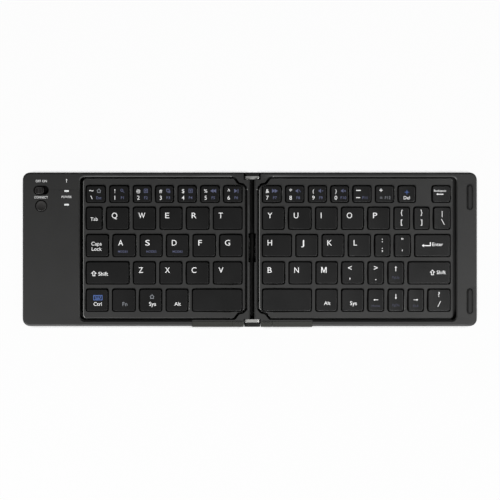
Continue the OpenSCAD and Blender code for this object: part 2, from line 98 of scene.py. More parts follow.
class KeyboardSizes(bpy.types.PropertyGroup):
    """Sizes of the edges, the keys and the print."""

    rim_round: length("Rim rounding", "Rounding of the outer top edge of the halves", 1.3)
    base_round: length("Base rounding", "Rounding of the outer bottom edge of the halves", 1.2)
    well_edge: length("Well edge", "Bevel of the edge of the well round the keys", 0.7)
    front_slope: length("Front slope", "Width of the slope at the front of the well", 1.25)
    seam: length("Seam", "Bevel on each side of the seam between base and frame", 0.12)
    fine_edge: length("Fine edge", "Bevel of small openings, the end caps and the spine", 0.15)
    step_edge: length("Step edge", "Bevel of the well's edge near the hinge", 0.45)
    deck_edge: length("Deck edge", "Width of the slope round the deck", 0.45)
    step_round: length("Step rounding", "Rounding of the stepped corners beside the hinge", 1.0)
    hole_edge: length("Key hole edge", "Bevel of the key holes and the light windows", 0.12)
    key_corner: length("Key corner", "Corner radius of a key, seen from above", 1.5)
    key_edge: length("Key edge", "Rounding of the top edge of a key", 0.5)
    key_wall: length("Key wall", "Thickness of the walls and the top of a key", 1.0)
    key_dish: length("Key dish", "Depth of the hollow of a key's top", 0.12)
    cover_edge: length("Cover edge", "Rounding of the covers, the knob and the button", 0.3)
    link_edge: length("Link edge", "Bevel of the metal links", 0.25)
    pad_edge: length("Pad edge", "Rounding of the rubber feet and bumpers", 0.3)
    print_height: length("Print height", "Height of the print over the surface", 0.012)
    letter_height: length("Letter height", "Height of the capitals on the letter keys", 3.8)
    button_dish: length("Button dish", "Depth of the hollow of the button", 0.45)
    ridge_depth: length("Ridge depth", "Depth of the grooves between the ridges of the knob", 0.3)


class KeyboardColours(bpy.types.PropertyGroup):
    """Colours of the finishes."""

    shell: colour("Shell", "Fine-textured plastic of the two halves", (0.021, 0.021, 0.0205))
    deck: colour("Deck", "Satin plastic between the keys", (0.027, 0.027, 0.0265))
    key: colour("Keys", "Smooth plastic of the keys", (0.005, 0.005, 0.005))
    metal: colour("Links", "Brushed metal of the hinge links", (0.62, 0.62, 0.6))
    cover: colour("Covers", "Plastic of the hinge covers", (0.022, 0.0225, 0.019))
    # Black plastic of the end caps and the spine; a darker tint of it is the painted shade in the gaps.
    recess: colour("Black plastic", "Plastic of the end caps, spine and gaps", (0.006, 0.006, 0.0055))
    # Painted highlight: the light colour put on the sloped edges of the deck and of the stepped corners.
    edge: colour("Bright edges", "Smooth plastic of the worn edges", (0.2, 0.2, 0.195))
    rubber: colour("Rubber", "Rubber of the feet and bumpers", (0.008, 0.008, 0.008))
    knob: colour("Controls", "Plastic of the knob and the button", (0.019, 0.018, 0.0175))
    white_print: colour("White print", "Main lettering", (0.86, 0.86, 0.86))
    blue_print: colour("Blue print", "Lettering of the second functions", (0.1, 0.11, 0.19))
    bright_blue: colour("Bright blue print", "Marks of the main function keys", (0.09, 0.16, 0.42))
    grey_print: colour("Grey print", "Lettering of the lesser marks", (0.2, 0.21, 0.23))
    faint_print: colour("Faint print", "Lettering of the marks on the cursor keys", (0.05, 0.052, 0.08))
    window: colour("Light windows", "Clear plastic over the two lamps", (0.88, 0.9, 0.9))


class KeyboardStage(bpy.types.PropertyGroup):
    """Floor, light and camera."""

    floor: colour("Floor", "Colour of the floor", (0.35, 0.35, 0.35))
    sky: strength("Sky", "Strength of the even light", 0.04)
    right_lamp: strength("Right lamp", "Power of the soft lamp on the right", 1.1)
    left_lamp: strength("Left lamp", "Power of the soft lamp on the left", 0.15)
    front_right_lamp: strength("Front right lamp", "Power of the soft lamp in front on the right", 2.75)
    front_left_lamp: strength("Front left lamp", "Power of the low lamp in front on the left", 3.4)
    view_width: length("View width", "Width that the camera shows at the rim", 325.9)
    camera_height: length("Camera height", "Height of the camera over the rim", 1200.0)


def sizes():
    return bpy.context.scene.keyboard_sizes


def colours():
    return bpy.context.scene.keyboard_colours


# ---------------------------------------------------------------- Materials


class Value:
    """An output socket. Maths on it adds Math nodes to its graph."""

    def __init__(self, graph, socket):
        self.graph = graph
        self.socket = socket

    def maths(self, operation, first, second):
        return self.graph.add("ShaderNodeMath", {"operation": operation}, {0: first, 1: second})

    def __add__(self, other):
        return self.maths("ADD", self, other)

    __radd__ = __add__

    def __sub__(self, other):
        return self.maths("SUBTRACT", self, other)

    def __rsub__(self, other):
        return self.maths("SUBTRACT", other, self)

    def __mul__(self, other):
        return self.maths("MULTIPLY", self, other)

    __rmul__ = __mul__


class Graph:
    """The nodes of one material or of the world."""

    def __init__(self, owner):
        owner.use_nodes = True
        self.tree = owner.node_tree
        self.tree.nodes.clear()

    def add(self, kind, settings=None, values=None, out=0):
        """Adds a node: its settings come first, then the values or links of its sockets."""
        node = self.tree.nodes.new(kind)
        for name, value in (settings or {}).items():
            setattr(node, name, value)
        for name, value in (values or {}).items():
            if isinstance(value, Value):
                self.tree.links.new(value.socket, node.inputs[name])
            else:
                node.inputs[name].default_value = value
        return Value(self, node.outputs[out])

    def place(self, scale=(1.0, 1.0, 1.0)):
        """Object coordinates, in metres, stretched by scale."""
        at = self.add("ShaderNodeTexCoord", out="Object")
        return self.add("ShaderNodeMapping", {"vector_type": "POINT"}, {"Vector": at, "Scale": scale})

    def noise(self, scale, detail=2.0, stretch=(1.0, 1.0, 1.0), roughness=0.5):
        return self.add(
            "ShaderNodeTexNoise",
            {"noise_dimensions": "3D"},
            {"Vector": self.place(stretch), "Scale": scale, "Detail": detail, "Roughness": roughness},
        )

    def shade(self, factor, dark, light):
        """Colour between dark and light by a factor."""
        return self.add(
            "ShaderNodeMix",
            {"data_type": "RGBA", "clamp_factor": True},
            {0: factor, 6: (*dark, 1.0), 7: (*light, 1.0)},
            out=2,
        )

    def bump(self, height, depth, strength=0.5):
        return self.add(
            "ShaderNodeBump", values={"Height": height, "Distance": depth, "Strength": strength}
        )

    def maximum(self, first, second):
        """The larger of two values."""
        return self.add("ShaderNodeMath", {"operation": "MAXIMUM"}, {0: first, 1: second})

    def limited(self, value):
        """A value kept between 0 and 1."""
        return self.add("ShaderNodeClamp", values={"Value": value})

    def rising(self, value, start, slope):
        """A value that is 0 at its start and changes from there by a slope, kept between 0 and 1."""
        return self.limited((value - start) * slope)

    def surface(self, **values):
        """Principled surface, joined to the output."""
        named = {name.replace("_", " "): value for name, value in values.items()}
        self.finish(self.add("ShaderNodeBsdfPrincipled", values=named))

    def finish(self, shader, output="ShaderNodeOutputMaterial"):
        """Joins a shader to the output of the material or of the world."""
        node = self.tree.nodes.new(output)
        self.tree.links.new(shader.socket, node.inputs["Surface"])


def tinted(shade, by):
    return tuple(min(1.0, c * by) for c in shade)


def plastic(name, grain, depth, rough, tint=1.0, spread=0.12, level=0.5):
    """A finish of moulded plastic: a fine grain, and a faint unevenness of colour and gloss.

    It has one of the keyboard's colours, tinted. Its grain and depth are in millimetres.
    """

    def finish(graph):
        shade = tinted(getattr(colours(), name), tint)
        grains = graph.noise(1.0 / (grain * MM), 2.0)
        cloud = graph.noise(45.0, 3.0)
        mix = grains * 0.35 + cloud * 0.65
        graph.surface(
            Base_Color=graph.shade(mix, tinted(shade, 1 - spread), tinted(shade, 1 + spread)),
            Roughness=mix * 0.16 + (rough - 0.08),
            Normal=graph.bump(grains, depth * MM, 0.6),
            Specular_IOR_Level=level,
        )

    return finish


def ink(name):
    """A finish of matt printing ink, a little uneven in cover, in one of the keyboard's colours."""

    def finish(graph):
        shade = getattr(colours(), name)
        cover = graph.noise(900.0, 3.0)
        graph.surface(
            Base_Color=graph.shade(cover, tinted(shade, 0.9), tinted(shade, 1.05)),
            Roughness=cover * 0.1 + 0.5,
            Specular_IOR_Level=0.3,
        )

    return finish


def rubber(graph):
    speck = graph.noise(4000.0, 3.0)
    patch = graph.noise(150.0, 3.0)
    graph.surface(
        Base_Color=graph.shade(patch, tinted(colours().rubber, 0.8), tinted(colours().rubber, 1.25)),
        Roughness=patch * 0.15 + 0.7,
        Normal=graph.bump(speck, 0.03 * MM, 0.7),
    )


def brushed_metal(graph, shade, along, rough, metallic=1.0):
    """Metal with streaks that run along the axis whose number is lowest."""
    streak = graph.noise(1.0, 3.0, along)
    patch = graph.noise(300.0, 2.0)
    graph.surface(
        Base_Color=graph.shade(streak, tinted(shade, 0.85), tinted(shade, 1.12)),
        Metallic=metallic,
        Roughness=streak * 0.14 + patch * 0.06 + (rough - 0.1),
        Normal=graph.bump(streak, 0.01 * MM, 0.4),
    )


def link_metal(graph):
    brushed_metal(graph, colours().metal, along=(40.0, 3500.0, 3500.0), rough=0.34, metallic=0.66)


def plate_metal(graph):
    brushed_metal(graph, (0.5, 0.51, 0.52), along=(60.0, 2500.0, 2500.0), rough=0.42)


def steel(graph):
    brushed_metal(graph, (0.46, 0.46, 0.45), along=(900.0, 900.0, 900.0), rough=0.36)


def patterned(graph, pattern, dark, light, rough, vary, depth, relief=0.5, **more):
    """A surface whose colour, gloss and relief follow one pattern. Its depth is in millimetres."""
    graph.surface(
        Base_Color=graph.shade(pattern, dark, light),
        Roughness=pattern * vary + rough,
        Normal=graph.bump(pattern, depth * MM, relief),
        **more,
    )


def black_steel(graph):
    """Steel with a black oxide finish."""
    patterned(
        graph, graph.noise(700.0, 3.0), (0.012, 0.012, 0.013), (0.024, 0.024, 0.025),
        rough=0.4, vary=0.14, depth=0.01, relief=0.4, Metallic=0.6,
    )


def dome_rubber(graph):
    patterned(
        graph, graph.noise(900.0, 3.0), (0.004, 0.004, 0.0045), (0.008, 0.008, 0.0085),
        rough=0.5, vary=0.15, depth=0.02,
    )


def scissor_plastic(graph):
    patterned(
        graph, graph.noise(1200.0, 2.0), (0.006, 0.006, 0.006), (0.011, 0.011, 0.0105),
        rough=0.45, vary=0.12, depth=0.01,
    )


def battery_foil(graph):
    patterned(
        graph, graph.noise(180.0, 5.0, roughness=0.6), (0.42, 0.43, 0.45), (0.6, 0.6, 0.61),
        rough=0.28, vary=0.2, depth=0.12, Metallic=0.9,
    )


def light_window(graph):
    depth = graph.noise(500.0, 2.0)
    shade = colours().window
    graph.surface(
        Base_Color=graph.shade(depth, tinted(shade, 0.92), tinted(shade, 1.0)),
        Roughness=depth * 0.1 + 0.22,
        Coat_Weight=0.3,
    )


def circuit_board(graph):
    """Green solder mask over a pattern of copper tracks."""
    tracks = graph.add(
        "ShaderNodeTexBrick",
        {"offset": 0.5, "squash": 1.0},
        {
            "Vector": graph.place(), "Scale": 260.0, "Mortar Size": 0.06, "Mortar Smooth": 0.2,
            "Color1": (0.0, 0.0, 0.0, 1.0), "Color2": (0.25, 0.25, 0.25, 1.0),
            "Mortar": (1.0, 1.0, 1.0, 1.0),
        },
        out="Fac",
    )
    cloud = graph.noise(400.0, 3.0)
    graph.surface(
        Base_Color=graph.shade(tracks * 0.8 + cloud * 0.2, (0.008, 0.07, 0.025), (0.04, 0.2, 0.08)),
        Roughness=cloud * 0.1 + 0.3,
        Normal=graph.bump(tracks, 0.03 * MM),
    )


FINISHES = {
    "shell": plastic("shell", grain=0.35, depth=0.03, rough=0.52, level=0.4),
    # Painted highlight: the shell, twice as light, on the slope along the rear edge of the well.
    "worn": plastic("shell", grain=0.35, depth=0.02, rough=0.45, tint=2.0, level=0.45),
    "deck": plastic("deck", grain=0.25, depth=0.015, rough=0.45, level=0.4),
    "key": plastic("key", grain=0.2, depth=0.006, rough=0.38, spread=0.15),
    "knob": plastic("knob", grain=0.2, depth=0.01, rough=0.42),
    "cover": plastic("cover", grain=0.3, depth=0.03, rough=0.5),
    # The end caps and the spine of the hinge.
    "recess": plastic("recess", grain=0.3, depth=0.02, rough=0.5, level=0.3),
    # Painted shade: a darker, duller tint of the black plastic, on the walls of the narrow gaps round the
    # keys, the controls and the bumpers, and on the sides of the keys, the knob and the button.
    "gap": plastic("recess", grain=0.3, depth=0.01, rough=0.6, tint=0.3, level=0.08),
    # Painted highlight: a light plastic on the sloped edges of the deck and of the stepped corners.
    "edge": plastic("edge", grain=0.25, depth=0.01, rough=0.4),
    "rubber": rubber,
    "link": link_metal,
    "plate": plate_metal,
    "steel": steel,
    "black_steel": black_steel,
    "white": ink("white_print"),
    "blue": ink("blue_print"),
    "bright": ink("bright_blue"),
    "grey": ink("grey_print"),
    "faint": ink("faint_print"),
    "window": light_window,
    "dome": dome_rubber,
    "scissor": scissor_plastic,
    "board": circuit_board,
    "battery": battery_foil,
}


def material(name):
    """The material of a finish, made the first time that it is asked for."""
    full = "keyboard_" + name
    found = bpy.data.materials.get(full)
    if found is None:
        found = bpy.data.materials.new(full)
        FINISHES[name](Graph(found))
    return found


# ---------------------------------------------------------------- Mesh helpers

# Upward part of the normal of a level face, at least.
LEVEL = 0.99
# Steepest turn between two faces that are taken for one, and least turn of an edge that may be bevelled.
FLAT = math.radians(0.4)
FOLDED = math.radians(20)
# Least turn of the edges of a block that are all bevelled alike.
SHARP = math.radians(50)
# Width of the faces that count as having no area.
NO_AREA = 1e-7
# How near a point is to the height, or an edge to the side, that it lies on.
NEAR_HEIGHT = 0.02 * MM
NEAR_SIDE = 0.05 * MM


def joined(node):
    """A bmesh of a CAD node, whose triangles come loose, with its points joined."""
    bm = bmesh.new()
    bm.from_mesh(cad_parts[node].data)
    bmesh.ops.remove_doubles(bm, verts=bm.verts, dist=2 * TINY)
    return bm


@functools.cache
def islands(node):
    """Boxes (low, high) of the separate solids of a CAD node, rear row first, left to right."""
    bm = joined(node)
    left = set(bm.verts)
    boxes = []
    while left:
        stack = [left.pop()]
        group = []
        while stack:
            vert = stack.pop()
            group.append(vert.co.copy())
            for edge in vert.link_edges:
                other = edge.other_vert(vert)
                if other in left:
                    left.remove(other)
                    stack.append(other)
        boxes.append(tuple(Vector([end(p[i] for p in group) for i in range(3)]) for end in (min, max)))
    bm.free()
    return sorted(boxes, key=lambda box: (-round(box[0].y / MM), box[0].x))


def centre(box):
    low, high = box
    return (low + high) / 2


def within(place, box, margin, right=0.0):
    """Whether a place is in a box seen from above, or in a margin round it that is wider on the right."""
    low, high = box
    across = low.x - margin < place.x < high.x + margin + right
    return across and low.y - margin < place.y < high.y + margin


def cut(bm, place, facing, parts=None):
    """Cuts a bmesh, or some parts of it, along a plane, and gives what lies on the plane."""
    geom = parts or bm.verts[:] + bm.edges[:] + bm.faces[:]
    return bmesh.ops.bisect_plane(bm, geom=geom, dist=TINY, plane_co=place, plane_no=facing)["geom_cut"]


def merged(node, beside=(), cuts=()):
    """A bmesh of a CAD node with its points joined and its flat faces made whole.

    It is cut through the middle of each solid of the nodes beside it, so that no face has a hole in it,
    and at further cuts, each (axis, place), which give a bevel that stops there an edge to end on.
    """
    bm = joined(node)
    bmesh.ops.dissolve_degenerate(bm, edges=bm.edges, dist=TINY)
    middles = {round((low.y + high.y) / 2, 4) for other in beside for low, high in islands(other)}
    for axis, place in [(1, y) for y in sorted(middles)] + list(cuts):
        facing = Vector([float(i == axis) for i in range(3)])
        for edge in cut(bm, facing * place, facing):
            if isinstance(edge, bmesh.types.BMEdge):
                edge.seam = True
    bmesh.ops.dissolve_limit(
        bm, angle_limit=FLAT, use_dissolve_boundaries=False,
        verts=bm.verts, edges=bm.edges, delimit={"SEAM"},
    )
    return bm


def edges_where(bm, test):
    """Edges between two faces that a test of their ends and their normals picks."""
    picked = []
    for edge in bm.edges:
        if len(edge.link_faces) != 2:
            continue
        first, second = edge.link_faces
        a, b = edge.verts
        if first.normal.angle(second.normal, 0.0) < FOLDED:
            continue
        if test(a.co, b.co, first.normal, second.normal):
            picked.append(edge)
    return picked


def bevel(bm, edges, width, segments, clamp=True):
    if edges:
        bmesh.ops.bevel(
            bm, geom=edges, offset=width, offset_type="OFFSET", segments=segments,
            profile=0.5, affect="EDGES", clamp_overlap=clamp, material=-1,
        )


def at_height(a, b, z):
    return abs(a.z - z) < NEAR_HEIGHT and abs(b.z - z) < NEAR_HEIGHT


def rounded_top(bm, z, width, segments, test, clamp=True):
    """Bevels the edges between a level face at height z and a side, where their middles pass a test."""
    edges = edges_where(
        bm,
        lambda a, b, m, n: at_height(a, b, z)
        and max(abs(m.z), abs(n.z)) > LEVEL
        and min(abs(m.z), abs(n.z)) < 0.5
        and test((a + b) / 2),
    )
    bevel(bm, edges, width, segments, clamp)


def leans(facing):
    """Whether a face is other than level or nearly level."""
    return abs(facing.z) < 0.97


def refinish(bm, index, test):
    """Gives the faces whose normal and middle pass a test another finish of their piece."""
    bm.normal_update()
    for face in bm.faces:
        if test(face.normal, face.calc_center_median()):
            face.material_index = index


def to_piece(bm, name, finishes, body, nodes=(), smooth=32.0, weighted=True):
    """Turns a bmesh into a piece that rides on a body."""
    # Clamped bevels leave faces of no area.
    bmesh.ops.dissolve_degenerate(bm, edges=bm.edges, dist=NO_AREA)
    mesh = bpy.data.meshes.new(name)
    bm.to_mesh(mesh)
    bm.free()
    for finish in finishes:
        mesh.materials.append(material(finish))
    mesh.shade_smooth()
    mesh.set_sharp_from_angle(angle=math.radians(smooth))
    piece = bpy.data.objects.new(name, mesh)
    bpy.context.scene.collection.objects.link(piece)
    if weighted:
        normals = piece.modifiers.new("Even normals", "WEIGHTED_NORMAL")
        normals.keep_sharp = True
    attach(piece, body)
    if nodes:
        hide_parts(*nodes)


# ---------------------------------------------------------------- Case and deck

LINK_LOW, LINK_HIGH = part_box("hinge_links")
HINGE_X = (LINK_LOW.x + LINK_HIGH.x) / 2
# The stepped corners beside the hinge lie this near to its middle, and this far to the rear and front.
STEPS_X = 14 * MM
STEPS_Y = LINK_HIGH.y - 9 * MM
# Where the front edge is cut, past the end of the front cover.
PAST_COVER = (0.05 * MM, 0.35 * MM)
# A round corner of a half lies in a square of this size.
CORNER = 4.8 * MM
# Width of the strip along the hinge that keeps its outer edges sharp, and of the one outside the well.
SHARP_STRIP = 2 * MM
HINGE_STRIP = 1.8 * MM
# How far from the deck the edge of the well lies, at most: anywhere, and to the rear and front.
WELL_REACH = 3 * MM
WELL_REACH_Y = 1.5 * MM
# How far behind the deck the rear slope of the well ends, at most.
REAR_SLOPE = 2.5 * MM
# Width of the strips round a control and round a key that belong to its hole.
ROUND_CONTROL = 0.8 * MM
ROUND_KEY = 0.6 * MM
# Width of the strip along the hinge that keeps its openings sharp.
FINE_STRIP = 2.5 * MM
# How far to the right the knob slides.
KNOB_TRAVEL = 2.6 * MM
# How far past the ends of the covers the front edge still counts as beside them.
BESIDE = 0.1 * MM

# Nodes whose solids stand in openings of each frame and of each base.
FRAME_OPENINGS = {
    "left": ("hinge_spine", "power_knob", "connect_button", "indicator_lights", "left_screws"),
    "right": ("hinge_spine", "right_pads", "right_screws"),
}
BASE_OPENINGS = {
    "left": ("hinge_spine", "left_feet", "left_screws"),
    "right": ("hinge_spine", "right_pads", "right_screws"),
}


def ends_of(side, box):
    """Where a box of a half ends beside the hinge, and where it ends away from it."""
    low, high = box
    return (high.x, low.x) if side == "left" else (low.x, high.x)


def step_cuts(side):
    """Cuts round the stepped corners of a half."""
    return [(0, HINGE_X + SIDES[side] * STEPS_X), (1, STEPS_Y), (1, -STEPS_Y)]


def cover_cuts(side):
    """Cuts just past the end of the front cover of a half."""
    end = ends_of(side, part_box(side + "_hinge_covers"))[1]
    return sorted((0, end + SIDES[side] * past) for past in PAST_COVER)


def by_hinge_end(place):
    """Whether a place is among the stepped corners beside the hinge."""
    return abs(place.x - HINGE_X) < STEPS_X and abs(place.y) > STEPS_Y


def by_covers(place, covers):
    """Whether a place is in line with the covers beside the hinge, from left to right."""
    low, high = covers
    return low.x - BESIDE < place.x < high.x + BESIDE


def is_sloped(facing):
    """Whether a face leans, but neither stands nor lies level."""
    return 0.3 < facing.z < 0.95


def round_steps(bm, width, clamp):
    """Rounds the upright edges of the stepped corners beside the hinge."""

    def stepped(a, b, m, n):
        return (
            abs(a.x - b.x) < 2 * TINY
            and abs(a.y - b.y) < 2 * TINY
            and by_hinge_end((a + b) / 2)
            and math.radians(25) < m.angle(n) < math.radians(75)
        )

    bevel(bm, edges_where(bm, stepped), width, 4, clamp)
    bm.normal_update()


def outside_of(side, box):
    """A test for places on the outside of a half, away from the hinge."""
    low, high = box
    hinge_x, end_x = ends_of(side, box)

    def test(place):
        inward_x = abs(place.x - end_x)
        inward_y = min(high.y - place.y, place.y - low.y)
        on_outside = min(inward_x, inward_y) < NEAR_SIDE or max(inward_x, inward_y) < CORNER
        return on_outside and abs(place.x - hinge_x) >= SHARP_STRIP

    return test


def key_nodes():
    """The nodes of the keycaps."""
    return [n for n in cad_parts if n.startswith("key_") or n.endswith(("_keys", "_space_key"))]


def slope_front(bm, top, line, covers):
    """Widens and deepens the slope of the well's front edge, except beside the covers."""
    size = sizes()
    more = size.front_slope - size.well_edge
    reach = 2.5 * MM
    fade = 2 * MM
    for vert in bm.verts:
        height = (vert.co.z - top) / size.well_edge + 1
        share = min(1.0, max(0.0, 1 - (vert.co.y - line + fade) / (2 * fade)))
        on_slope = -0.05 < height < 1.05 and line - reach < vert.co.y < line + reach
        if on_slope and not by_covers(vert.co, covers):
            vert.co.y -= more * height * share
            vert.co.z -= more * (1 - height) * share


def build_frame(side):
    """The frame of a half: rounded outside, with fine edges inside."""
    node = side + "_frame"
    size = sizes()
    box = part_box(node)
    top = box[1].z
    hinge_x = ends_of(side, box)[0]
    outer = outside_of(side, box)
    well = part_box(side + "_deck")
    well_rear = well[1].y
    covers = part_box(side + "_hinge_covers")
    controls = [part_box(control) for control in ("power_knob", "connect_button")]
    bm = merged(node, FRAME_OPENINGS[side], step_cuts(side) + cover_cuts(side))
    round_steps(bm, size.step_round, False)
    rounded_top(bm, top, size.rim_round, 5, outer, False)

    def in_well(place):
        past_hinge = abs(place.x - hinge_x) > HINGE_STRIP
        return within(place, well, WELL_REACH) and past_hinge and abs(place.y) < well_rear + WELL_REACH_Y

    def narrow(place):
        return by_hinge_end(place) or (place.y < 0 and by_covers(place, covers))

    def fine(place):
        return not in_well(place) and abs(place.x - hinge_x) > FINE_STRIP

    rounded_top(bm, top, size.well_edge, 1, lambda place: in_well(place) and not narrow(place), False)
    rounded_top(bm, top, size.step_edge, 1, lambda place: in_well(place) and narrow(place))
    rounded_top(bm, top, size.fine_edge, 2, fine)
    slope_front(bm, top, well[0].y, covers)
    seam_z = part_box(side + "_base")[1].z
    seam = edges_where(
        bm,
        lambda a, b, m, n: at_height(a, b, seam_z)
        and min(m.z, n.z) < -LEVEL
        and min(abs(m.z), abs(n.z)) < 0.1
        and outer((a + b) / 2),
    )
    bevel(bm, seam, size.seam, 1)

    def on_rear_slope(facing, middle):
        behind = 0 < middle.y < well_rear + REAR_SLOPE and abs(middle.x - hinge_x) > HINGE_STRIP
        return behind and is_sloped(facing) and middle.z > top - size.well_edge

    def round_control(facing, middle):
        near = any(within(middle, control, ROUND_CONTROL, KNOB_TRAVEL) for control in controls)
        return near and leans(facing)

    def at_step(facing, middle):
        return on_rear_slope(facing, middle) and by_hinge_end(middle)

    def along_rear(facing, middle):
        return on_rear_slope(facing, middle) and not by_hinge_end(middle) and facing.y < -0.2

    finishes = ["shell", "edge", "worn", "gap"]
    # Painted highlight on the slopes of the stepped corners beside the hinge.
    refinish(bm, finishes.index("edge"), at_step)
    # Painted highlight on the front-facing slope along the rear edge of the well.
    refinish(bm, finishes.index("worn"), along_rear)
    # Painted shade on the leaning faces round the knob and the button.
    refinish(bm, finishes.index("gap"), round_control)
    to_piece(bm, side + "_case_frame", finishes, side + "_half", [node])


def build_base(side):
    """The tray of a half, rounded underneath."""
    node = side + "_base"
    size = sizes()
    low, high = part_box(node)
    outer = outside_of(side, (low, high))
    bm = merged(node, BASE_OPENINGS[side])
    rounded_top(bm, low.z, size.base_round, 4, outer, False)
    rounded_top(bm, high.z, size.seam, 1, outer)
    to_piece(bm, side + "_case_base", ["shell"], side + "_half", [node])


def build_deck(side):
    """The deck between the keys: sloped outside, with fine edges round the key holes."""
    node = side + "_deck"
    size = sizes()
    low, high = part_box(node)
    caps = [name for name in key_nodes() if low.x < centre(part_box(name)).x < high.x]
    keys = [box for cap in caps for box in islands(cap)]
    bm = merged(node, caps, step_cuts(side))
    round_steps(bm, size.step_round, True)

    def round_key(place):
        return any(within(place, key, ROUND_KEY) for key in keys)

    def outside(place):
        return not round_key(place) and not by_hinge_end(place)

    def at_step(place):
        return not round_key(place) and by_hinge_end(place)

    rounded_top(bm, high.z, size.deck_edge, 1, outside, False)
    rounded_top(bm, high.z, size.deck_edge, 1, at_step)
    rounded_top(bm, high.z, size.hole_edge, 1, round_key)

    def in_gap(facing, middle):
        return abs(facing.z) < (0.9 if round_key(middle) else 0.3)

    def lit_slope(facing, middle):
        return is_sloped(facing) and not round_key(middle) and (facing.y > 0.3 or facing.x < -0.3)

    finishes = ["deck", "gap", "edge"]
    # Painted shade on the walls and chamfers of the key holes and on the other upright faces.
    refinish(bm, finishes.index("gap"), in_gap)
    # Painted highlight on the deck's outer slopes that face the rear or the left.
    refinish(bm, finishes.index("edge"), lit_slope)
    to_piece(bm, side + "_key_deck", finishes, side + "_half", [node])


# ---------------------------------------------------------------- Keys

# Number of strips that a key is cut into, so that its top can be dished.
DISH_STRIPS = 10


def build_cap(low, high):
    """One keycap between two corners: round corners, a dished top and a hollow underside."""
    size = sizes()
    bm = bmesh.new()
    bmesh.ops.create_cube(bm, size=1.0)
    span = high - low
    bmesh.ops.scale(bm, vec=span, verts=bm.verts)
    bmesh.ops.translate(bm, vec=(low + high) / 2, verts=bm.verts)
    upright = [e for e in bm.edges if abs(e.verts[0].co.z - e.verts[1].co.z) > span.z / 2]
    bevel(bm, upright, size.key_corner, 6)
    bm.normal_update()
    under = [f for f in bm.faces if f.normal.z < -LEVEL]
    bmesh.ops.inset_region(bm, faces=under, thickness=size.key_wall, use_even_offset=True)
    hollow = bmesh.ops.extrude_discrete_faces(bm, faces=under)["faces"]
    inside = list({v for f in hollow for v in f.verts})
    bmesh.ops.translate(bm, vec=(0, 0, span.z - size.key_wall), verts=inside)
    bm.normal_update()
    edges = edges_where(bm, lambda a, b, m, n: at_height(a, b, high.z) and max(m.z, n.z) > LEVEL)
    bevel(bm, edges, size.key_edge, 4)
    for i in range(1, DISH_STRIPS):
        cut(bm, (low.x + span.x * i / DISH_STRIPS, 0, 0), (1, 0, 0))
    foot = high.z - size.key_edge
    for vert in bm.verts:
        if vert.co.z > foot + TINY:
            vert.co.z -= dish(vert.co.x, low, high) * (vert.co.z - foot) / size.key_edge
    return bm


def dish(x, low, high):
    """Depth of the hollow of a key's top at x."""
    across = (2 * x - low.x - high.x) / (high.x - low.x)
    return sizes().key_dish * max(0.0, 1 - across * across)


def build_caps(node):
    """The keycaps of one node, as one piece."""
    mesh = bpy.data.meshes.new("cap")
    whole = bmesh.new()
    for low, high in islands(node):
        cap = build_cap(low, high)
        cap.to_mesh(mesh)
        cap.free()
        whole.from_mesh(mesh)
    bpy.data.meshes.remove(mesh)
    # Painted shade on every leaning face of the keys: their sides and the rounding of their top edges.
    refinish(whole, 1, lambda facing, middle: leans(facing))
    to_piece(whole, node.replace("key", "cap"), ["key", "gap"], node, [node])


# ---------------------------------------------------------------- Print

# Marks are drawn as flat outlines, about one unit to each side of the middle. Overlapping outlines cut
# holes. A ring has this many points.
RING_POINTS = 20


def ring(radius, at=(0.0, 0.0)):
    angles = [2 * math.pi * i / RING_POINTS for i in range(RING_POINTS)]
    return [(at[0] + radius * math.cos(angle), at[1] + radius * math.sin(angle)) for angle in angles]


def bar(x0, y0, x1, y1):
    return [(x0, y0), (x1, y0), (x1, y1), (x0, y1)]


def shrunk(outline, by):
    return [(x * by, y * by) for x, y in outline]


def turned(outlines, degrees):
    c, s = math.cos(math.radians(degrees)), math.sin(math.radians(degrees))
    return [[(x * c - y * s, x * s + y * c) for x, y in outline] for outline in outlines]


def moved(outlines, dx):
    return [[(x + dx, y) for x, y in outline] for outline in outlines]


ARROW = [(-1, -0.13), (0.4, -0.13), (0.4, -0.42), (1, 0), (0.4, 0.42), (0.4, 0.13), (-1, 0.13)]
SHIFT = [(-0.5, -1), (0.5, -1), (0.5, -0.05), (1.05, -0.05), (0, 1), (-1.05, -0.05), (-0.5, -0.05)]
SHIFT_INSIDE = [
    (-0.27, -0.77), (0.27, -0.77), (0.27, 0.18), (0.53, 0.18), (0, 0.69), (-0.53, 0.18), (-0.27, 0.18),
]
RETURN = [
    (-1.35, -0.25), (-0.75, 0.22), (-0.75, -0.1), (1.05, -0.1), (1.05, 0.75), (1.35, 0.75), (1.35, -0.4),
    (-0.75, -0.4), (-0.75, -0.72),
]
TRIANGLE = [(-0.5, -0.7), (0.6, 0), (-0.5, 0.7)]
HOUSE = [(-0.7, -0.8), (0.7, -0.8), (0.7, 0.1), (1, 0.1), (0, 1), (-1, 0.1), (-0.7, 0.1)]
SPEAKER = [(-0.9, -0.3), (-0.5, -0.3), (0, -0.75), (0, 0.75), (-0.5, 0.3), (-0.9, 0.3)]
BOX = bar(-0.8, -0.8, 0.8, 0.8)
RAY = bar(0.6, -0.1, 0.95, 0.1)
WAVE = bar(0.3, -0.12, 0.9, 0.12)
LETTER_M = [
    (0, 0), (0, 1), (0.2, 1), (0.465, 0.3), (0.73, 1), (0.93, 1), (0.93, 0), (0.79, 0), (0.79, 0.76),
    (0.53, 0.06), (0.4, 0.06), (0.14, 0.76), (0.14, 0),
]
KEY_DOTS = [(x, y) for x in (-0.9, -0.3, 0.3, 0.9) for y in (0.35, -0.02)]

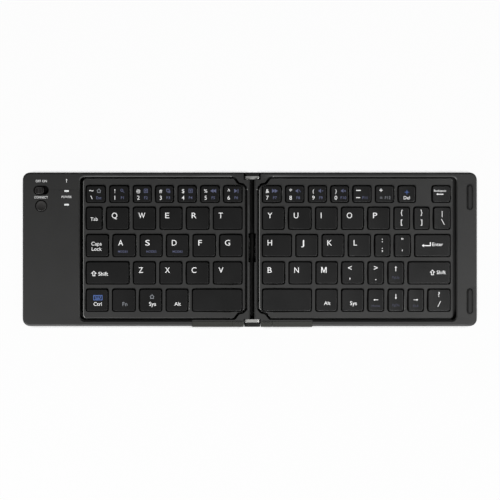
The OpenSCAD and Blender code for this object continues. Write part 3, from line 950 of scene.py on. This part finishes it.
MARKS = {
    "right": [ARROW],
    "left": turned([ARROW], 180),
    "up": turned([ARROW], 90),
    "down": turned([ARROW], -90),
    "shift": [SHIFT, SHIFT_INSIDE],
    "return": [RETURN],
    "house": [HOUSE, shrunk(HOUSE, 0.6)],
    "search": [
        ring(0.62, (-0.2, 0.2)), ring(0.38, (-0.2, 0.2)),
        [(0.18, -0.32), (0.32, -0.18), (0.95, -0.8), (0.8, -0.95)],
    ],
    "select": [BOX, shrunk(BOX, 0.72), shrunk(BOX, 0.35)],
    "copy": [
        bar(-0.9, -0.4, 0.4, 0.9), bar(-0.65, -0.15, 0.15, 0.65), bar(0.5, -0.9, 0.75, 0.4),
        bar(-0.4, -0.9, 0.5, -0.65),
    ],
    "paste": [BOX, shrunk(BOX, 0.74), bar(-0.3, -0.25, 0.3, 0.25)],
    "back": moved(turned([TRIANGLE], 180), 0.45) + moved(turned([TRIANGLE], 180), -0.5),
    "play": [TRIANGLE, bar(0.75, -0.7, 0.95, 0.7)],
    "next": moved([TRIANGLE], 0.5) + moved([TRIANGLE], -0.45),
    "quiet": [SPEAKER, WAVE],
    "loud": [SPEAKER, WAVE, bar(0.49, 0.12, 0.71, 0.4), bar(0.49, -0.4, 0.71, -0.12)],
    "mute": [SPEAKER, [(0.2, 0.35), (0.35, 0.5), (0.95, -0.35), (0.8, -0.5)]],
    "lamp": [ring(0.42), ring(0.22)] + [ray for angle in (0, 90, 180, 270) for ray in turned([RAY], angle)],
    "pair": [ring(0.62, (-0.62, 0)), ring(0.4, (-0.62, 0)), ring(0.62, (0.72, 0)), ring(0.4, (0.72, 0))],
    "menu": [bar(-0.8, 0.4, 0.8, 0.65), bar(-0.8, -0.12, 0.8, 0.12), bar(-0.8, -0.65, 0.8, -0.4)],
    "m": [LETTER_M],
    "grave": [[(-0.5, 0.85), (-0.15, 1), (0.55, -0.85), (0.25, -1)]],
    "slash": [[(-0.62, -1), (-0.4, -1), (0.62, 1), (0.4, 1)]],
    "backslash": [[(0.62, -1), (0.4, -1), (-0.62, 1), (-0.4, 1)]],
    "dash": [bar(-1, -0.2, 1, 0.2)],
    "plus": [[
        (-1, -0.2), (-0.2, -0.2), (-0.2, -1), (0.2, -1), (0.2, -0.2), (1, -0.2), (1, 0.2), (0.2, 0.2),
        (0.2, 1), (-0.2, 1), (-0.2, 0.2), (-1, 0.2),
    ]],
    "keyboard": [
        bar(-1.6, -0.9, 1.6, 0.9), bar(-1.4, -0.7, 1.4, 0.7),
        *(bar(x - 0.13, y - 0.13, x + 0.13, y + 0.13) for x, y in KEY_DOTS),
        bar(-0.9, -0.52, 0.9, -0.3),
    ],
    "erase": [[(-1, 0), (-0.6, 0.35), (-0.6, 0.13), (1, 0.13), (1, -0.13), (-0.6, -0.13), (-0.6, -0.35)]],
}

# Print on each key: (what, from, x, y, height, ink), in millimetres, in white where no ink is given.
# Marks have a name in angle brackets.
# y counts from the middle of the key. x is where the left end (l) or the middle (m) of the print lies from
# the key's left edge, its middle from the key's middle (c), or its middle (n) or its right end (r) back from
# the key's right edge.


def number_key(upper, lower, mark, second, size=2.6):
    """Two signs on the left of a key, and a mark and the name of a function on its right."""
    return [
        (upper, "m", 3.2, 2.0, size), (lower, "m", 3.2, -2.4, 2.7),
        (mark, "m", 8.1, 2.0, 2.6, "blue"), (second, "m", 8.1, -2.4, 1.9, "blue"),
    ]


def pair_key(upper, lower, up, down, size=3.1):
    """One sign over another."""
    return [(upper, "c", 0, up, size), (lower, "c", 0, down, size)]


LEGENDS = {
    "left_number_keys": [
        [("~", "m", 3.2, 2.6, 3.8), ("<grave>", "m", 3.3, -2.3, 2.4),
         ("<house>", "m", 8.1, 2.1, 2.8, "grey"), ("Esc", "m", 8.1, -2.4, 2.0, "blue")],
        number_key("!", "1", "<search>", "F1"),
        number_key("@", "2", "<select>", "F2", 2.0),
        number_key("#", "3", "<copy>", "F3", 2.4),
        number_key("$", "4", "<paste>", "F4"),
        number_key("%", "5", "<back>", "F5", 2.4),
        number_key("^", "6", "<play>", "F6", 3.0),
    ],
    "right_number_keys": [
        number_key("&", "7", "<next>", "F7"),
        number_key("*", "8", "<mute>", "F8", 3.0),
        number_key("(", "9", "<quiet>", "F9", 2.4),
        number_key(")", "0", "<loud>", "F10", 2.4),
        [("<dash>", "m", 3.5, 2.3, 0.6), ("<dash>", "m", 3.2, -2.4, 0.55),
         ("F11", "m", 7.6, -2.4, 1.9, "blue")],
        [("<plus>", "m", 3.5, 2.4, 2.2), ("=", "m", 3.6, -2.4, 2.4, "grey"),
         ("F12", "m", 7.9, -2.4, 1.9, "grey")],
        [("<lamp>", "c", 0.1, 1.1, 2.9, "bright"), ("Del", "c", 0, -2.4, 2.2)],
        [("Backspace", "c", -0.7, 2.2, 1.4), ("<erase>", "c", -0.8, -0.2, 1.6)],
    ],
    "left_edge_keys": [
        [("Tab", "c", 0, -0.5, 2.3)],
        [("Caps", "c", -0.6, 1.25, 2.45), ("Lock", "c", -0.4, -2.15, 2.45)],
        [("<shift>", "m", 4.85, -0.4, 3.5), ("Shift", "l", 7.8, -0.6, 2.6)],
        [("<keyboard>", "c", 0.5, 1.6, 3.3, "bright"), ("Ctrl", "c", 0.3, -2.45, 2.4)],
        [("Fn", "c", 0.7, -2.45, 2.7, "grey")],
        [("<house>", "c", 0.9, 2.3, 2.9, "grey"), ("Sys", "c", 1.2, -2.4, 2.6)],
        [("Alt", "c", 0.4, -2.4, 2.4)],
    ],
    "right_edge_keys": [
        pair_key("{", "[", 3.9, -2.3), pair_key("}", "]", 3.9, -2.3),
        [("|", "c", 0.2, 3.3, 3.1), ("<backslash>", "c", 0.7, -2.4, 3.7)],
        pair_key(":", ";", 3.9, -2.0, 3.5), pair_key("\"", "'", 3.3, -4.2, 3.2),
        [("<return>", "m", 7.5, 0.5, 3.2), ("Enter", "l", 11.4, 0.85, 2.35)],
        [("<", "m", 5.2, 3.3, 3.7), (",", "m", 5.2, -1.9, 4.0)],
        [(">", "c", 0, 3.3, 3.7), (".", "c", 0, -2.7, 4.0)],
        [("<up>", "c", 0, 2.7, 3.3), ("PgUp", "c", 0, -2.9, 1.6, "faint")],
        [("<shift>", "n", 11.4, 0.3, 3.5), ("Shift", "r", 2.8, 0.4, 2.4)],
        [("Alt", "c", 0.5, -1.9, 2.4)],
        [("Sys", "c", 0.6, -1.9, 2.6)],
        [("<left>", "c", 0, 0.2, 1.25), ("Home", "c", 0, -3.6, 1.6, "faint")],
        [("<down>", "c", 0, 2.3, 3.3), ("PgDn", "c", 0, -3.2, 1.6, "faint")],
        [("<right>", "c", 0, 0.2, 1.25), ("End", "c", 0, -3.6, 1.6, "faint")],
        [("?", "c", 0, 3.9, 3.2), ("<slash>", "c", 0.1, -2.5, 3.6)],
    ],
}
# Text and its place from the left edge, on the keys that choose a mode.
MODE_KEYS = {"a": ("MODE1", 6.3), "s": ("MODE2", 7.2), "d": ("MODE3", 7.0)}
# Width of each capital for its height.
LETTER_WIDTHS = {
    "A": 0.84, "B": 0.72, "C": 0.82, "D": 0.82, "E": 0.68, "F": 0.62, "G": 0.88, "H": 0.76, "I": 0.14,
    "J": 0.52, "K": 0.8, "L": 0.6, "N": 0.78, "O": 0.92, "P": 0.72, "Q": 0.94, "R": 0.82, "S": 0.76,
    "T": 0.72, "U": 0.78, "V": 0.82, "W": 1.16, "X": 0.82, "Y": 0.82, "Z": 0.74,
}
# Place of the letter on a letter key, and of the mode's name under it, from the left edge and the middle.
LETTER_AT = (3.3, 1.9)
MODE_Y = -3.9
MODE_HEIGHT = 1.45
# Height of the capitals of Blender's own font in a text of size 1.
CAPITAL = 0.729
# How much the strokes of text are thickened: where its width is given, and elsewhere.
FINE_STROKE = 0.002
STROKE = 0.004
# How deep the print is sunk into the surface that it stands on.
SUNK = 0.03 * MM


def legends_of(node):
    """The print on each key of a node."""
    if node in LEGENDS:
        return LEGENDS[node]
    if not node.startswith("key_"):
        return []
    name = node[len("key_"):]
    tall = sizes().letter_height / MM
    letter = name.upper()
    shown = "<m>" if letter == "M" else letter
    items = [(shown, "l", *LETTER_AT, tall, "white", LETTER_WIDTHS.get(letter, 0.0) * tall)]
    if name in MODE_KEYS:
        text, x = MODE_KEYS[name]
        items.append((text, "m", x, MODE_Y, MODE_HEIGHT, "blue"))
    return [items]


def is_mark(what):
    return what.startswith("<") and len(what) > 2


def print_half():
    """Half the thickness of the print, sunk part and all."""
    return 0.5 * (sizes().print_height + SUNK)


def mark_curve(name):
    """The curve of a mark, and its height."""
    curve = bpy.data.curves.new("mark", "CURVE")
    curve.dimensions = "2D"
    for outline in MARKS[name]:
        spline = curve.splines.new("POLY")
        spline.points.add(len(outline) - 1)
        for point, (x, y) in zip(spline.points, outline):
            point.co = (x, y, 0.0, 1.0)
        spline.use_cyclic_u = True
    ys = [y for outline in MARKS[name] for x, y in outline]
    return curve, max(ys) - min(ys)


def text_curve(text, stroke):
    """The curve of a text in Blender's own font."""
    curve = bpy.data.curves.new("text", "FONT")
    curve.body = text
    curve.align_x = "LEFT"
    curve.offset = stroke
    curve.space_character = 1.02
    return curve


def glyph_mesh(what, height, width=0.0):
    """Mesh of a text or a mark, in metres. Its height is that of the capitals or of the whole mark.

    A width, where one is given, is what it is stretched to. Both are in millimetres.
    """
    if is_mark(what):
        curve, tall = mark_curve(what[1:-1])
        drop = 0.0
    else:
        curve = text_curve(what, FINE_STROKE if width else STROKE)
        tall = CAPITAL
        drop = CAPITAL / 2
    scale = height * MM / tall
    curve.fill_mode = "BOTH"
    curve.resolution_u = 5
    curve.extrude = print_half() / scale
    thing = bpy.data.objects.new("glyph", curve)
    mesh = bpy.data.meshes.new_from_object(thing)
    bpy.data.objects.remove(thing)
    bpy.data.curves.remove(curve)
    xs = [v.co.x for v in mesh.vertices]
    stretch = width * MM / (scale * (max(xs) - min(xs))) if width else 1.0
    sized = Matrix.Diagonal((scale * stretch, scale, scale, 1.0))
    mesh.transform(sized @ Matrix.Translation((0, -drop, 0)))
    return mesh


def add_glyph(whole, finishes, box, surface, what, side, x, y, height, ink="white", width=0.0):
    """Adds a text or a mark to the print on a box. The surface gives the height of its top at an x."""
    low, high = box
    mesh = glyph_mesh(what, height, width)
    xs = [v.co.x for v in mesh.vertices]
    ys = [v.co.y for v in mesh.vertices]
    first, last = min(xs), max(xs)
    own_middle = (first + last) / 2
    start = {
        "l": low.x + x * MM - first,
        "m": low.x + x * MM - own_middle,
        "c": (low.x + high.x) / 2 + x * MM - own_middle,
        "n": high.x - x * MM - own_middle,
        "r": high.x - x * MM - last,
    }[side]
    rise = (low.y + high.y) / 2 + y * MM - ((min(ys) + max(ys)) / 2 if is_mark(what) else 0.0)
    mesh.transform(Matrix.Translation((start, rise, 0.0)))
    before = len(whole.faces)
    whole.from_mesh(mesh)
    bpy.data.meshes.remove(mesh)
    whole.faces.ensure_lookup_table()
    if ink not in finishes:
        finishes.append(ink)
    for face in whole.faces[before:]:
        face.material_index = finishes.index(ink)
    lift = sizes().print_height - print_half()
    for vert in {v for face in whole.faces[before:] for v in face.verts}:
        vert.co.z += surface(vert.co.x) + lift


def build_legends(node):
    """The print on the keys of one node, as one piece."""
    rows = legends_of(node)
    if not rows:
        return
    whole = bmesh.new()
    finishes = []
    for (low, high), items in zip(islands(node), rows):
        for item in items:
            add_glyph(whole, finishes, (low, high), lambda x: high.z - dish(x, low, high), *item)
    name = "print_" + node.replace("key_", "").replace("_keys", "")
    to_piece(whole, name, finishes, node, weighted=False, smooth=20.0)


# ---------------------------------------------------------------- Hinge, controls and bumpers

# Number of strips across the knob, every other one a groove, and how far a groove's sides lean.
KNOB_STRIPS = 11
GROOVE_LEAN = 0.08 * MM
# Number of rings that the dished top of the button is cut into.
BUTTON_RINGS = 8
# Rings on a bumper, each in from the last one. The middle two are sunk by the depth and make a groove.
BUMPER_RINGS = (0.15 * MM, 0.12 * MM, 0.12 * MM, 0.12 * MM)
BUMPER_GROOVE = 0.35 * MM
# The sides of the bumpers get painted shade from this far under the frame's top to this far under their own.
BUMPER_SEAM = 0.2 * MM
BUMPER_LIP = 0.06 * MM
# Ribs on the front corners: number, first place from the middle of the hinge, spacing, size and bevel.
RIBS = 5
FIRST_RIB = 7.4 * MM
RIB_SPACING = 0.9 * MM
RIB_SIZE = (0.35 * MM, 2.4 * MM, 0.3 * MM)
RIB_EDGE = 0.08 * MM
# Where the ribs stand behind the front edge, and how far their middles lie under the top of the frame.
RIB_INSET = 2.6 * MM
RIB_SUNK = 0.03 * MM


def build_bevelled(node, name, finish, body, width, segments=3):
    """A CAD node with its sharp edges bevelled."""
    bm = merged(node)
    bevel(bm, edges_where(bm, lambda a, b, m, n: m.angle(n, 0.0) > SHARP), width, segments)
    to_piece(bm, name, [finish], body, [node])


def level_faces(bm, height):
    """The faces that lie at a height and look up."""
    return [
        face for face in bm.faces
        if face.normal.z > LEVEL and abs(face.calc_center_median().z - height) < NEAR_HEIGHT
    ]


def darken_below(bm, height):
    """Gives the faces that lie lower than a height the second finish of their piece, a painted shade."""
    refinish(bm, 1, lambda facing, middle: middle.z < height)


def sink(bm, faces, depth):
    """Moves faces down."""
    bmesh.ops.translate(bm, vec=(0, 0, -depth), verts=list({v for face in faces for v in face.verts}))


def rounded_control(node):
    """A bmesh of the knob or the button with the edge of its top rounded, and the height of its top."""
    bm = merged(node)
    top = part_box(node)[1].z
    bevel(bm, edges_where(bm, lambda a, b, m, n: at_height(a, b, top)), sizes().cover_edge, 3)
    return bm, top


def build_knob():
    """The sliding knob, with ridges across its top."""
    node = "power_knob"
    size = sizes()
    bm, high = rounded_control(node)
    xs = [v.co.x for face in level_faces(bm, high) for v in face.verts]
    left, right = min(xs), max(xs)
    for i in range(1, KNOB_STRIPS):
        faces = level_faces(bm, high)
        parts = faces + list({e for f in faces for e in f.edges}) + list({v for f in faces for v in f.verts})
        cut(bm, (left + (right - left) * i / KNOB_STRIPS, 0, 0), (1, 0, 0), parts)
    valleys = sorted(level_faces(bm, high), key=lambda face: face.calc_center_median().x)[1:-1:2]
    bmesh.ops.inset_individual(bm, faces=valleys, thickness=GROOVE_LEAN, use_even_offset=True)
    sink(bm, valleys, size.ridge_depth)
    # Painted shade in the grooves between the ridges and on the knob from halfway down its rounded edge.
    darken_below(bm, high - size.cover_edge / 2)
    to_piece(bm, "slide_knob", ["knob", "gap"], node, [node])


def build_button():
    """The round button, with a dished top."""
    node = "connect_button"
    size = sizes()
    bm, high = rounded_control(node)
    top = level_faces(bm, high)
    radius = max(v.co.x for v in top[0].verts) - centre(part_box(node)).x
    depths = [size.button_dish * (1 - (1 - i / BUTTON_RINGS) ** 2) for i in range(BUTTON_RINGS)]
    for outer, inner in zip(depths, depths[1:]):
        bmesh.ops.inset_region(bm, faces=top, thickness=radius / BUTTON_RINGS, use_even_offset=True)
        sink(bm, top, inner - outer)
    # Painted shade on the side of the button, below its rounded edge.
    darken_below(bm, high - size.button_dish - size.cover_edge / 2)
    to_piece(bm, "round_button", ["knob", "gap"], node, [node])


def build_bumpers():
    """The bumpers, with a narrow groove round their tops."""
    node = "right_pads"
    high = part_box(node)[1].z
    bm = merged(node)
    bevel(bm, edges_where(bm, lambda a, b, m, n: m.angle(n, 0.0) > SHARP), sizes().pad_edge, 3)
    for top in level_faces(bm, high):
        loops = []
        for step in BUMPER_RINGS:
            bmesh.ops.inset_individual(bm, faces=[top], thickness=0.0)
            xs = [v.co.x for v in top.verts]
            ys = [v.co.y for v in top.verts]
            middle = Vector(((min(xs) + max(xs)) / 2, (min(ys) + max(ys)) / 2, high))
            smaller = (1 - 2 * step / (max(xs) - min(xs)), 1 - 2 * step / (max(ys) - min(ys)), 1)
            bmesh.ops.scale(bm, vec=smaller, space=Matrix.Translation(-middle), verts=list(top.verts))
            loops.append(list(top.verts))
        bmesh.ops.translate(bm, vec=(0, 0, -BUMPER_GROOVE), verts=loops[1] + loops[2])
    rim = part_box("right_frame")[1].z
    # Painted shade on the sides of the bumpers.
    refinish(bm, 1, lambda facing, middle: rim - BUMPER_SEAM < middle.z < high - BUMPER_LIP)
    to_piece(bm, "right_rubber_pads", ["rubber", "gap"], "right_half", [node])


def add_ribs():
    """Fine ribs on the front corners of the halves, beside the hinge."""
    low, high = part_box("left_frame")
    for side, way in SIDES.items():
        bm = bmesh.new()
        for i in range(RIBS):
            place = (HINGE_X + way * (FIRST_RIB + RIB_SPACING * i), low.y + RIB_INSET, high.z - RIB_SUNK)
            made = bmesh.ops.create_cube(bm, size=1.0)["verts"]
            bmesh.ops.scale(bm, vec=RIB_SIZE, verts=made)
            bmesh.ops.translate(bm, vec=place, verts=made)
        bevel(bm, edges_where(bm, lambda a, b, m, n: max(m.z, n.z) > LEVEL), RIB_EDGE, 2)
        to_piece(bm, side + "_corner_ribs", ["shell"], side + "_half")


def add_panel_print():
    """Lettering beside the controls of the left side panel."""
    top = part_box("left_frame")[1].z
    knob = centre(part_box("power_knob"))
    button = centre(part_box("connect_button"))
    upper, lower = [centre(box) for box in islands("indicator_lights")]
    whole = bmesh.new()
    finishes = []
    for what, x, y, height, wide in (
        ("OFF ON", button.x + 0.1 * MM, knob.y + 6.0 * MM, 1.6, 7.2),
        ("CONNECT", button.x, (knob.y + button.y) / 2 + 0.5 * MM, 1.6, 8.8),
        ("<up>", upper.x, upper.y + 6.7 * MM, 2.5, 1.0),
        ("POWER", upper.x, (upper.y + lower.y) / 2 + 0.6 * MM, 1.5, 6.6),
    ):
        place = Vector((x, y, top))
        add_glyph(
            whole, finishes, (place, place), lambda _x: top, what, "c", 0, 0, height, width=wide
        )
    to_piece(whole, "panel_print", finishes, "left_half", weighted=False, smooth=20.0)


# ---------------------------------------------------------------- Stage

WHITE = (1.0, 1.0, 1.0, 1.0)
FLOOR_SIZE = 4.0
# How far the floor lies under the feet.
FLOOR_GAP = 0.05 * MM
# Reach of the two measures of how open the floor is to the sky.
NEAR_SKY = 4 * MM
WIDE_SKY = 30 * MM
# Lamps: place, and point that it shines at, in metres, and the width and depth of its face.
LAMPS = {
    "right_lamp": ((0.42, -0.02, 0.42), (0.1, 0.0, 0.0), 0.28, 0.28),
    "left_lamp": ((-0.42, -0.02, 0.42), (-0.1, 0.0, 0.0), 0.28, 0.28),
    "front_right_lamp": ((0.2, -0.4, 0.45), (0.08, 0.0, 0.0), 0.25, 0.25),
    "front_left_lamp": ((-0.3, -0.42, 0.22), (-0.08, 0.0, 0.0), 0.25, 0.15),
}
# Where the camera stands over the keyboard, seen from above, and the width of its film in millimetres.
CAMERA_AT = (0.13 * MM, -0.21 * MM)
FILM = 36.0


def add_floor(stage):
    """A floor that looks white, but for the shadow round the keyboard, and painted black shade where it is
    seen through the slits in the keyboard.
    """
    bm = bmesh.new()
    bmesh.ops.create_grid(bm, x_segments=1, y_segments=1, size=FLOOR_SIZE)
    bmesh.ops.translate(bm, vec=(0, 0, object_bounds()[0][2] - FLOOR_GAP), verts=bm.verts)
    mesh = bpy.data.meshes.new("floor")
    bm.to_mesh(mesh)
    bm.free()
    floor = bpy.data.objects.new("floor", mesh)
    bpy.context.scene.collection.objects.link(floor)
    floor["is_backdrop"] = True
    paper = bpy.data.materials.new("keyboard_floor")
    mesh.materials.append(paper)
    graph = Graph(paper)
    seen, glossy, through = (
        graph.add("ShaderNodeLightPath", out=ray)
        for ray in ("Is Camera Ray", "Is Glossy Ray", "Is Transmission Ray")
    )
    near_sky, wide_sky = (
        graph.add("ShaderNodeAmbientOcclusion", {"samples": 8}, {"Distance": reach}, out="AO")
        for reach in (NEAR_SKY, WIDE_SKY)
    )
    weave = graph.noise(700.0, 3.0)
    shade = graph.shade(weave, tinted(stage.floor, 0.98), tinted(stage.floor, 1.02))
    diffuse = graph.add("ShaderNodeBsdfDiffuse", values={"Color": shade})
    glow = graph.add("ShaderNodeEmission", values={"Color": WHITE, "Strength": 1.0})
    dark = graph.add("ShaderNodeEmission", values={"Color": (0.0, 0.0, 0.0, 1.0), "Strength": 0.0})
    clear = graph.maximum(seen, through) * graph.rising(near_sky, 0.4, 6.0)
    share = graph.maximum(clear, glossy * graph.rising(wide_sky, 0.6, 2.5)) * 0.97
    # Painted shade: the floor is drawn black to the camera where little of the sky is open to it, in the
    # slits.
    painted_slit_shade = seen * graph.rising(near_sky, 0.6, -4.0)
    paper_look = graph.add("ShaderNodeMixShader", values={0: share, 1: diffuse, 2: glow})
    graph.finish(graph.add("ShaderNodeMixShader", values={0: painted_slit_shade, 1: paper_look, 2: dark}))


def add_sky(stage):
    """Faint even light, which looks white to the camera."""
    world = bpy.data.worlds.new("keyboard_sky")
    bpy.context.scene.world = world
    graph = Graph(world)
    seen = graph.add("ShaderNodeLightPath", out="Is Camera Ray")
    even, white = (
        graph.add("ShaderNodeBackground", values={"Color": WHITE, "Strength": power})
        for power in (stage.sky, 1.0)
    )
    sky = graph.add("ShaderNodeMixShader", values={0: seen, 1: even, 2: white})
    graph.finish(sky, "ShaderNodeOutputWorld")


def add_lamps(stage):
    """Soft rectangular lamps, each turned to the point that it shines at."""
    for name, (at, aim, wide, deep) in LAMPS.items():
        lamp = bpy.data.lights.new(name, "AREA")
        lamp.shape = "RECTANGLE"
        lamp.size = wide
        lamp.size_y = deep
        lamp.energy = getattr(stage, name)
        thing = bpy.data.objects.new(name, lamp)
        thing.location = at
        thing.rotation_euler = (Vector(aim) - Vector(at)).to_track_quat("-Z", "Y").to_euler()
        bpy.context.scene.collection.objects.link(thing)


def add_camera(stage):
    """A camera that looks straight down."""
    scene = bpy.context.scene
    lens = bpy.data.cameras.new("camera")
    lens.sensor_width = FILM
    lens.lens = FILM * stage.camera_height / stage.view_width
    lens.clip_start = 0.01
    lens.clip_end = 20.0
    camera = bpy.data.objects.new("camera", lens)
    camera.location = (*CAMERA_AT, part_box("left_frame")[1].z + stage.camera_height)
    scene.collection.objects.link(camera)
    scene.camera = camera
    scene.view_settings.view_transform = "Standard"


# ---------------------------------------------------------------- Operators


class KEYBOARD_OT_cases(bpy.types.Operator):
    """Build the frames and bases of both halves"""

    bl_idname = "folding_keyboard.cases"
    bl_label = "Case halves"

    def execute(self, context):
        for side in SIDES:
            build_frame(side)
            build_base(side)
        return {"FINISHED"}


class KEYBOARD_OT_decks(bpy.types.Operator):
    """Build the decks between the keys"""

    bl_idname = "folding_keyboard.decks"
    bl_label = "Decks"

    def execute(self, context):
        for side in SIDES:
            build_deck(side)
        return {"FINISHED"}


class KEYBOARD_OT_keycaps(bpy.types.Operator):
    """Build the keycaps"""

    bl_idname = "folding_keyboard.keycaps"
    bl_label = "Keycaps"

    def execute(self, context):
        for node in key_nodes():
            build_caps(node)
        return {"FINISHED"}


class KEYBOARD_OT_legends(bpy.types.Operator):
    """Print the keys and the side panel"""

    bl_idname = "folding_keyboard.legends"
    bl_label = "Print"

    def execute(self, context):
        for node in key_nodes():
            build_legends(node)
        add_panel_print()
        return {"FINISHED"}


class KEYBOARD_OT_hinge(bpy.types.Operator):
    """Build the links, end caps, spine and covers of the hinge"""

    bl_idname = "folding_keyboard.hinge"
    bl_label = "Hinge"

    def execute(self, context):
        size = sizes()
        build_bevelled("hinge_links", "metal_links", "link", "hinge", size.link_edge)
        for node, name in (("hinge_end_caps", "link_end_caps"), ("hinge_spine", "hinge_bar")):
            build_bevelled(node, name, "recess", "hinge", size.fine_edge, 2)
        add_ribs()
        for side in SIDES:
            build_bevelled(
                side + "_hinge_covers", side + "_front_covers", "cover", side + "_half",
                size.cover_edge,
            )
        return {"FINISHED"}


class KEYBOARD_OT_controls(bpy.types.Operator):
    """Build the power knob, the connect button and the light windows"""

    bl_idname = "folding_keyboard.controls"
    bl_label = "Controls"

    def execute(self, context):
        build_knob()
        build_button()
        build_bevelled(
            "indicator_lights", "light_windows", "window", "left_half",
            sizes().hole_edge, 2,
        )
        return {"FINISHED"}


class KEYBOARD_OT_pads(bpy.types.Operator):
    """Build the rubber feet and bumpers"""

    bl_idname = "folding_keyboard.pads"
    bl_label = "Feet and bumpers"

    def execute(self, context):
        build_bevelled(
            "left_feet", "left_rubber_feet", "rubber", "left_half", sizes().pad_edge
        )
        build_bumpers()
        return {"FINISHED"}


# Finish of each inner node, by the ending of its name.
INNER_FINISHES = {
    "_support_plate": "plate", "_dome_sheet": "dome", "_scissor_frames": "scissor",
    "_hinge_brackets": "black_steel", "_screws": "steel", "main_board": "board", "battery": "battery",
}


class KEYBOARD_OT_inner_parts(bpy.types.Operator):
    """Give the parts inside the case their finishes"""

    bl_idname = "folding_keyboard.inner_parts"
    bl_label = "Inner parts"

    def execute(self, context):
        for node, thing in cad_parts.items():
            for ending, finish in INNER_FINISHES.items():
                if node.endswith(ending):
                    if not thing.material_slots:
                        thing.data.materials.append(None)
                    for place in thing.material_slots:
                        place.material = material(finish)
        return {"FINISHED"}


class KEYBOARD_OT_stage(bpy.types.Operator):
    """Set the floor, the light and the camera"""

    bl_idname = "folding_keyboard.stage"
    bl_label = "Stage"

    def execute(self, context):
        stage = context.scene.keyboard_stage
        add_floor(stage)
        add_sky(stage)
        add_lamps(stage)
        add_camera(stage)
        return {"FINISHED"}


# The operators, in the order that they run in.
STEPS = (
    KEYBOARD_OT_stage, KEYBOARD_OT_cases, KEYBOARD_OT_decks, KEYBOARD_OT_keycaps, KEYBOARD_OT_legends,
    KEYBOARD_OT_hinge, KEYBOARD_OT_controls, KEYBOARD_OT_pads, KEYBOARD_OT_inner_parts,
)


class KEYBOARD_PT_panel(bpy.types.Panel):
    """Lists the steps and the sizes"""

    bl_idname = "KEYBOARD_PT_panel"
    bl_label = "Folding keyboard"
    bl_space_type = "VIEW_3D"
    bl_region_type = "UI"
    bl_category = "Keyboard"

    def draw(self, context):
        for step in STEPS:
            self.layout.operator(step.bl_idname)
        for name in GROUPS:
            group = getattr(context.scene, name)
            box = self.layout.box()
            for prop in group.__annotations__:
                box.prop(group, prop)


GROUPS = {
    "keyboard_sizes": KeyboardSizes,
    "keyboard_colours": KeyboardColours,
    "keyboard_stage": KeyboardStage,
}


def register():
    for cls in (*GROUPS.values(), *STEPS, KEYBOARD_PT_panel):
        bpy.utils.register_class(cls)
    for name, group in GROUPS.items():
        setattr(bpy.types.Scene, name, bpy.props.PointerProperty(type=group))


def unregister():
    for name in GROUPS:
        delattr(bpy.types.Scene, name)
    for cls in (KEYBOARD_PT_panel, *reversed(STEPS), *reversed(GROUPS.values())):
        bpy.utils.unregister_class(cls)


def main():
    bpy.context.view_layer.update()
    register()
    for step in STEPS:
        group, name = step.bl_idname.split(".")
        getattr(getattr(bpy.ops, group), name)()


if __name__ == "__main__":
    main()
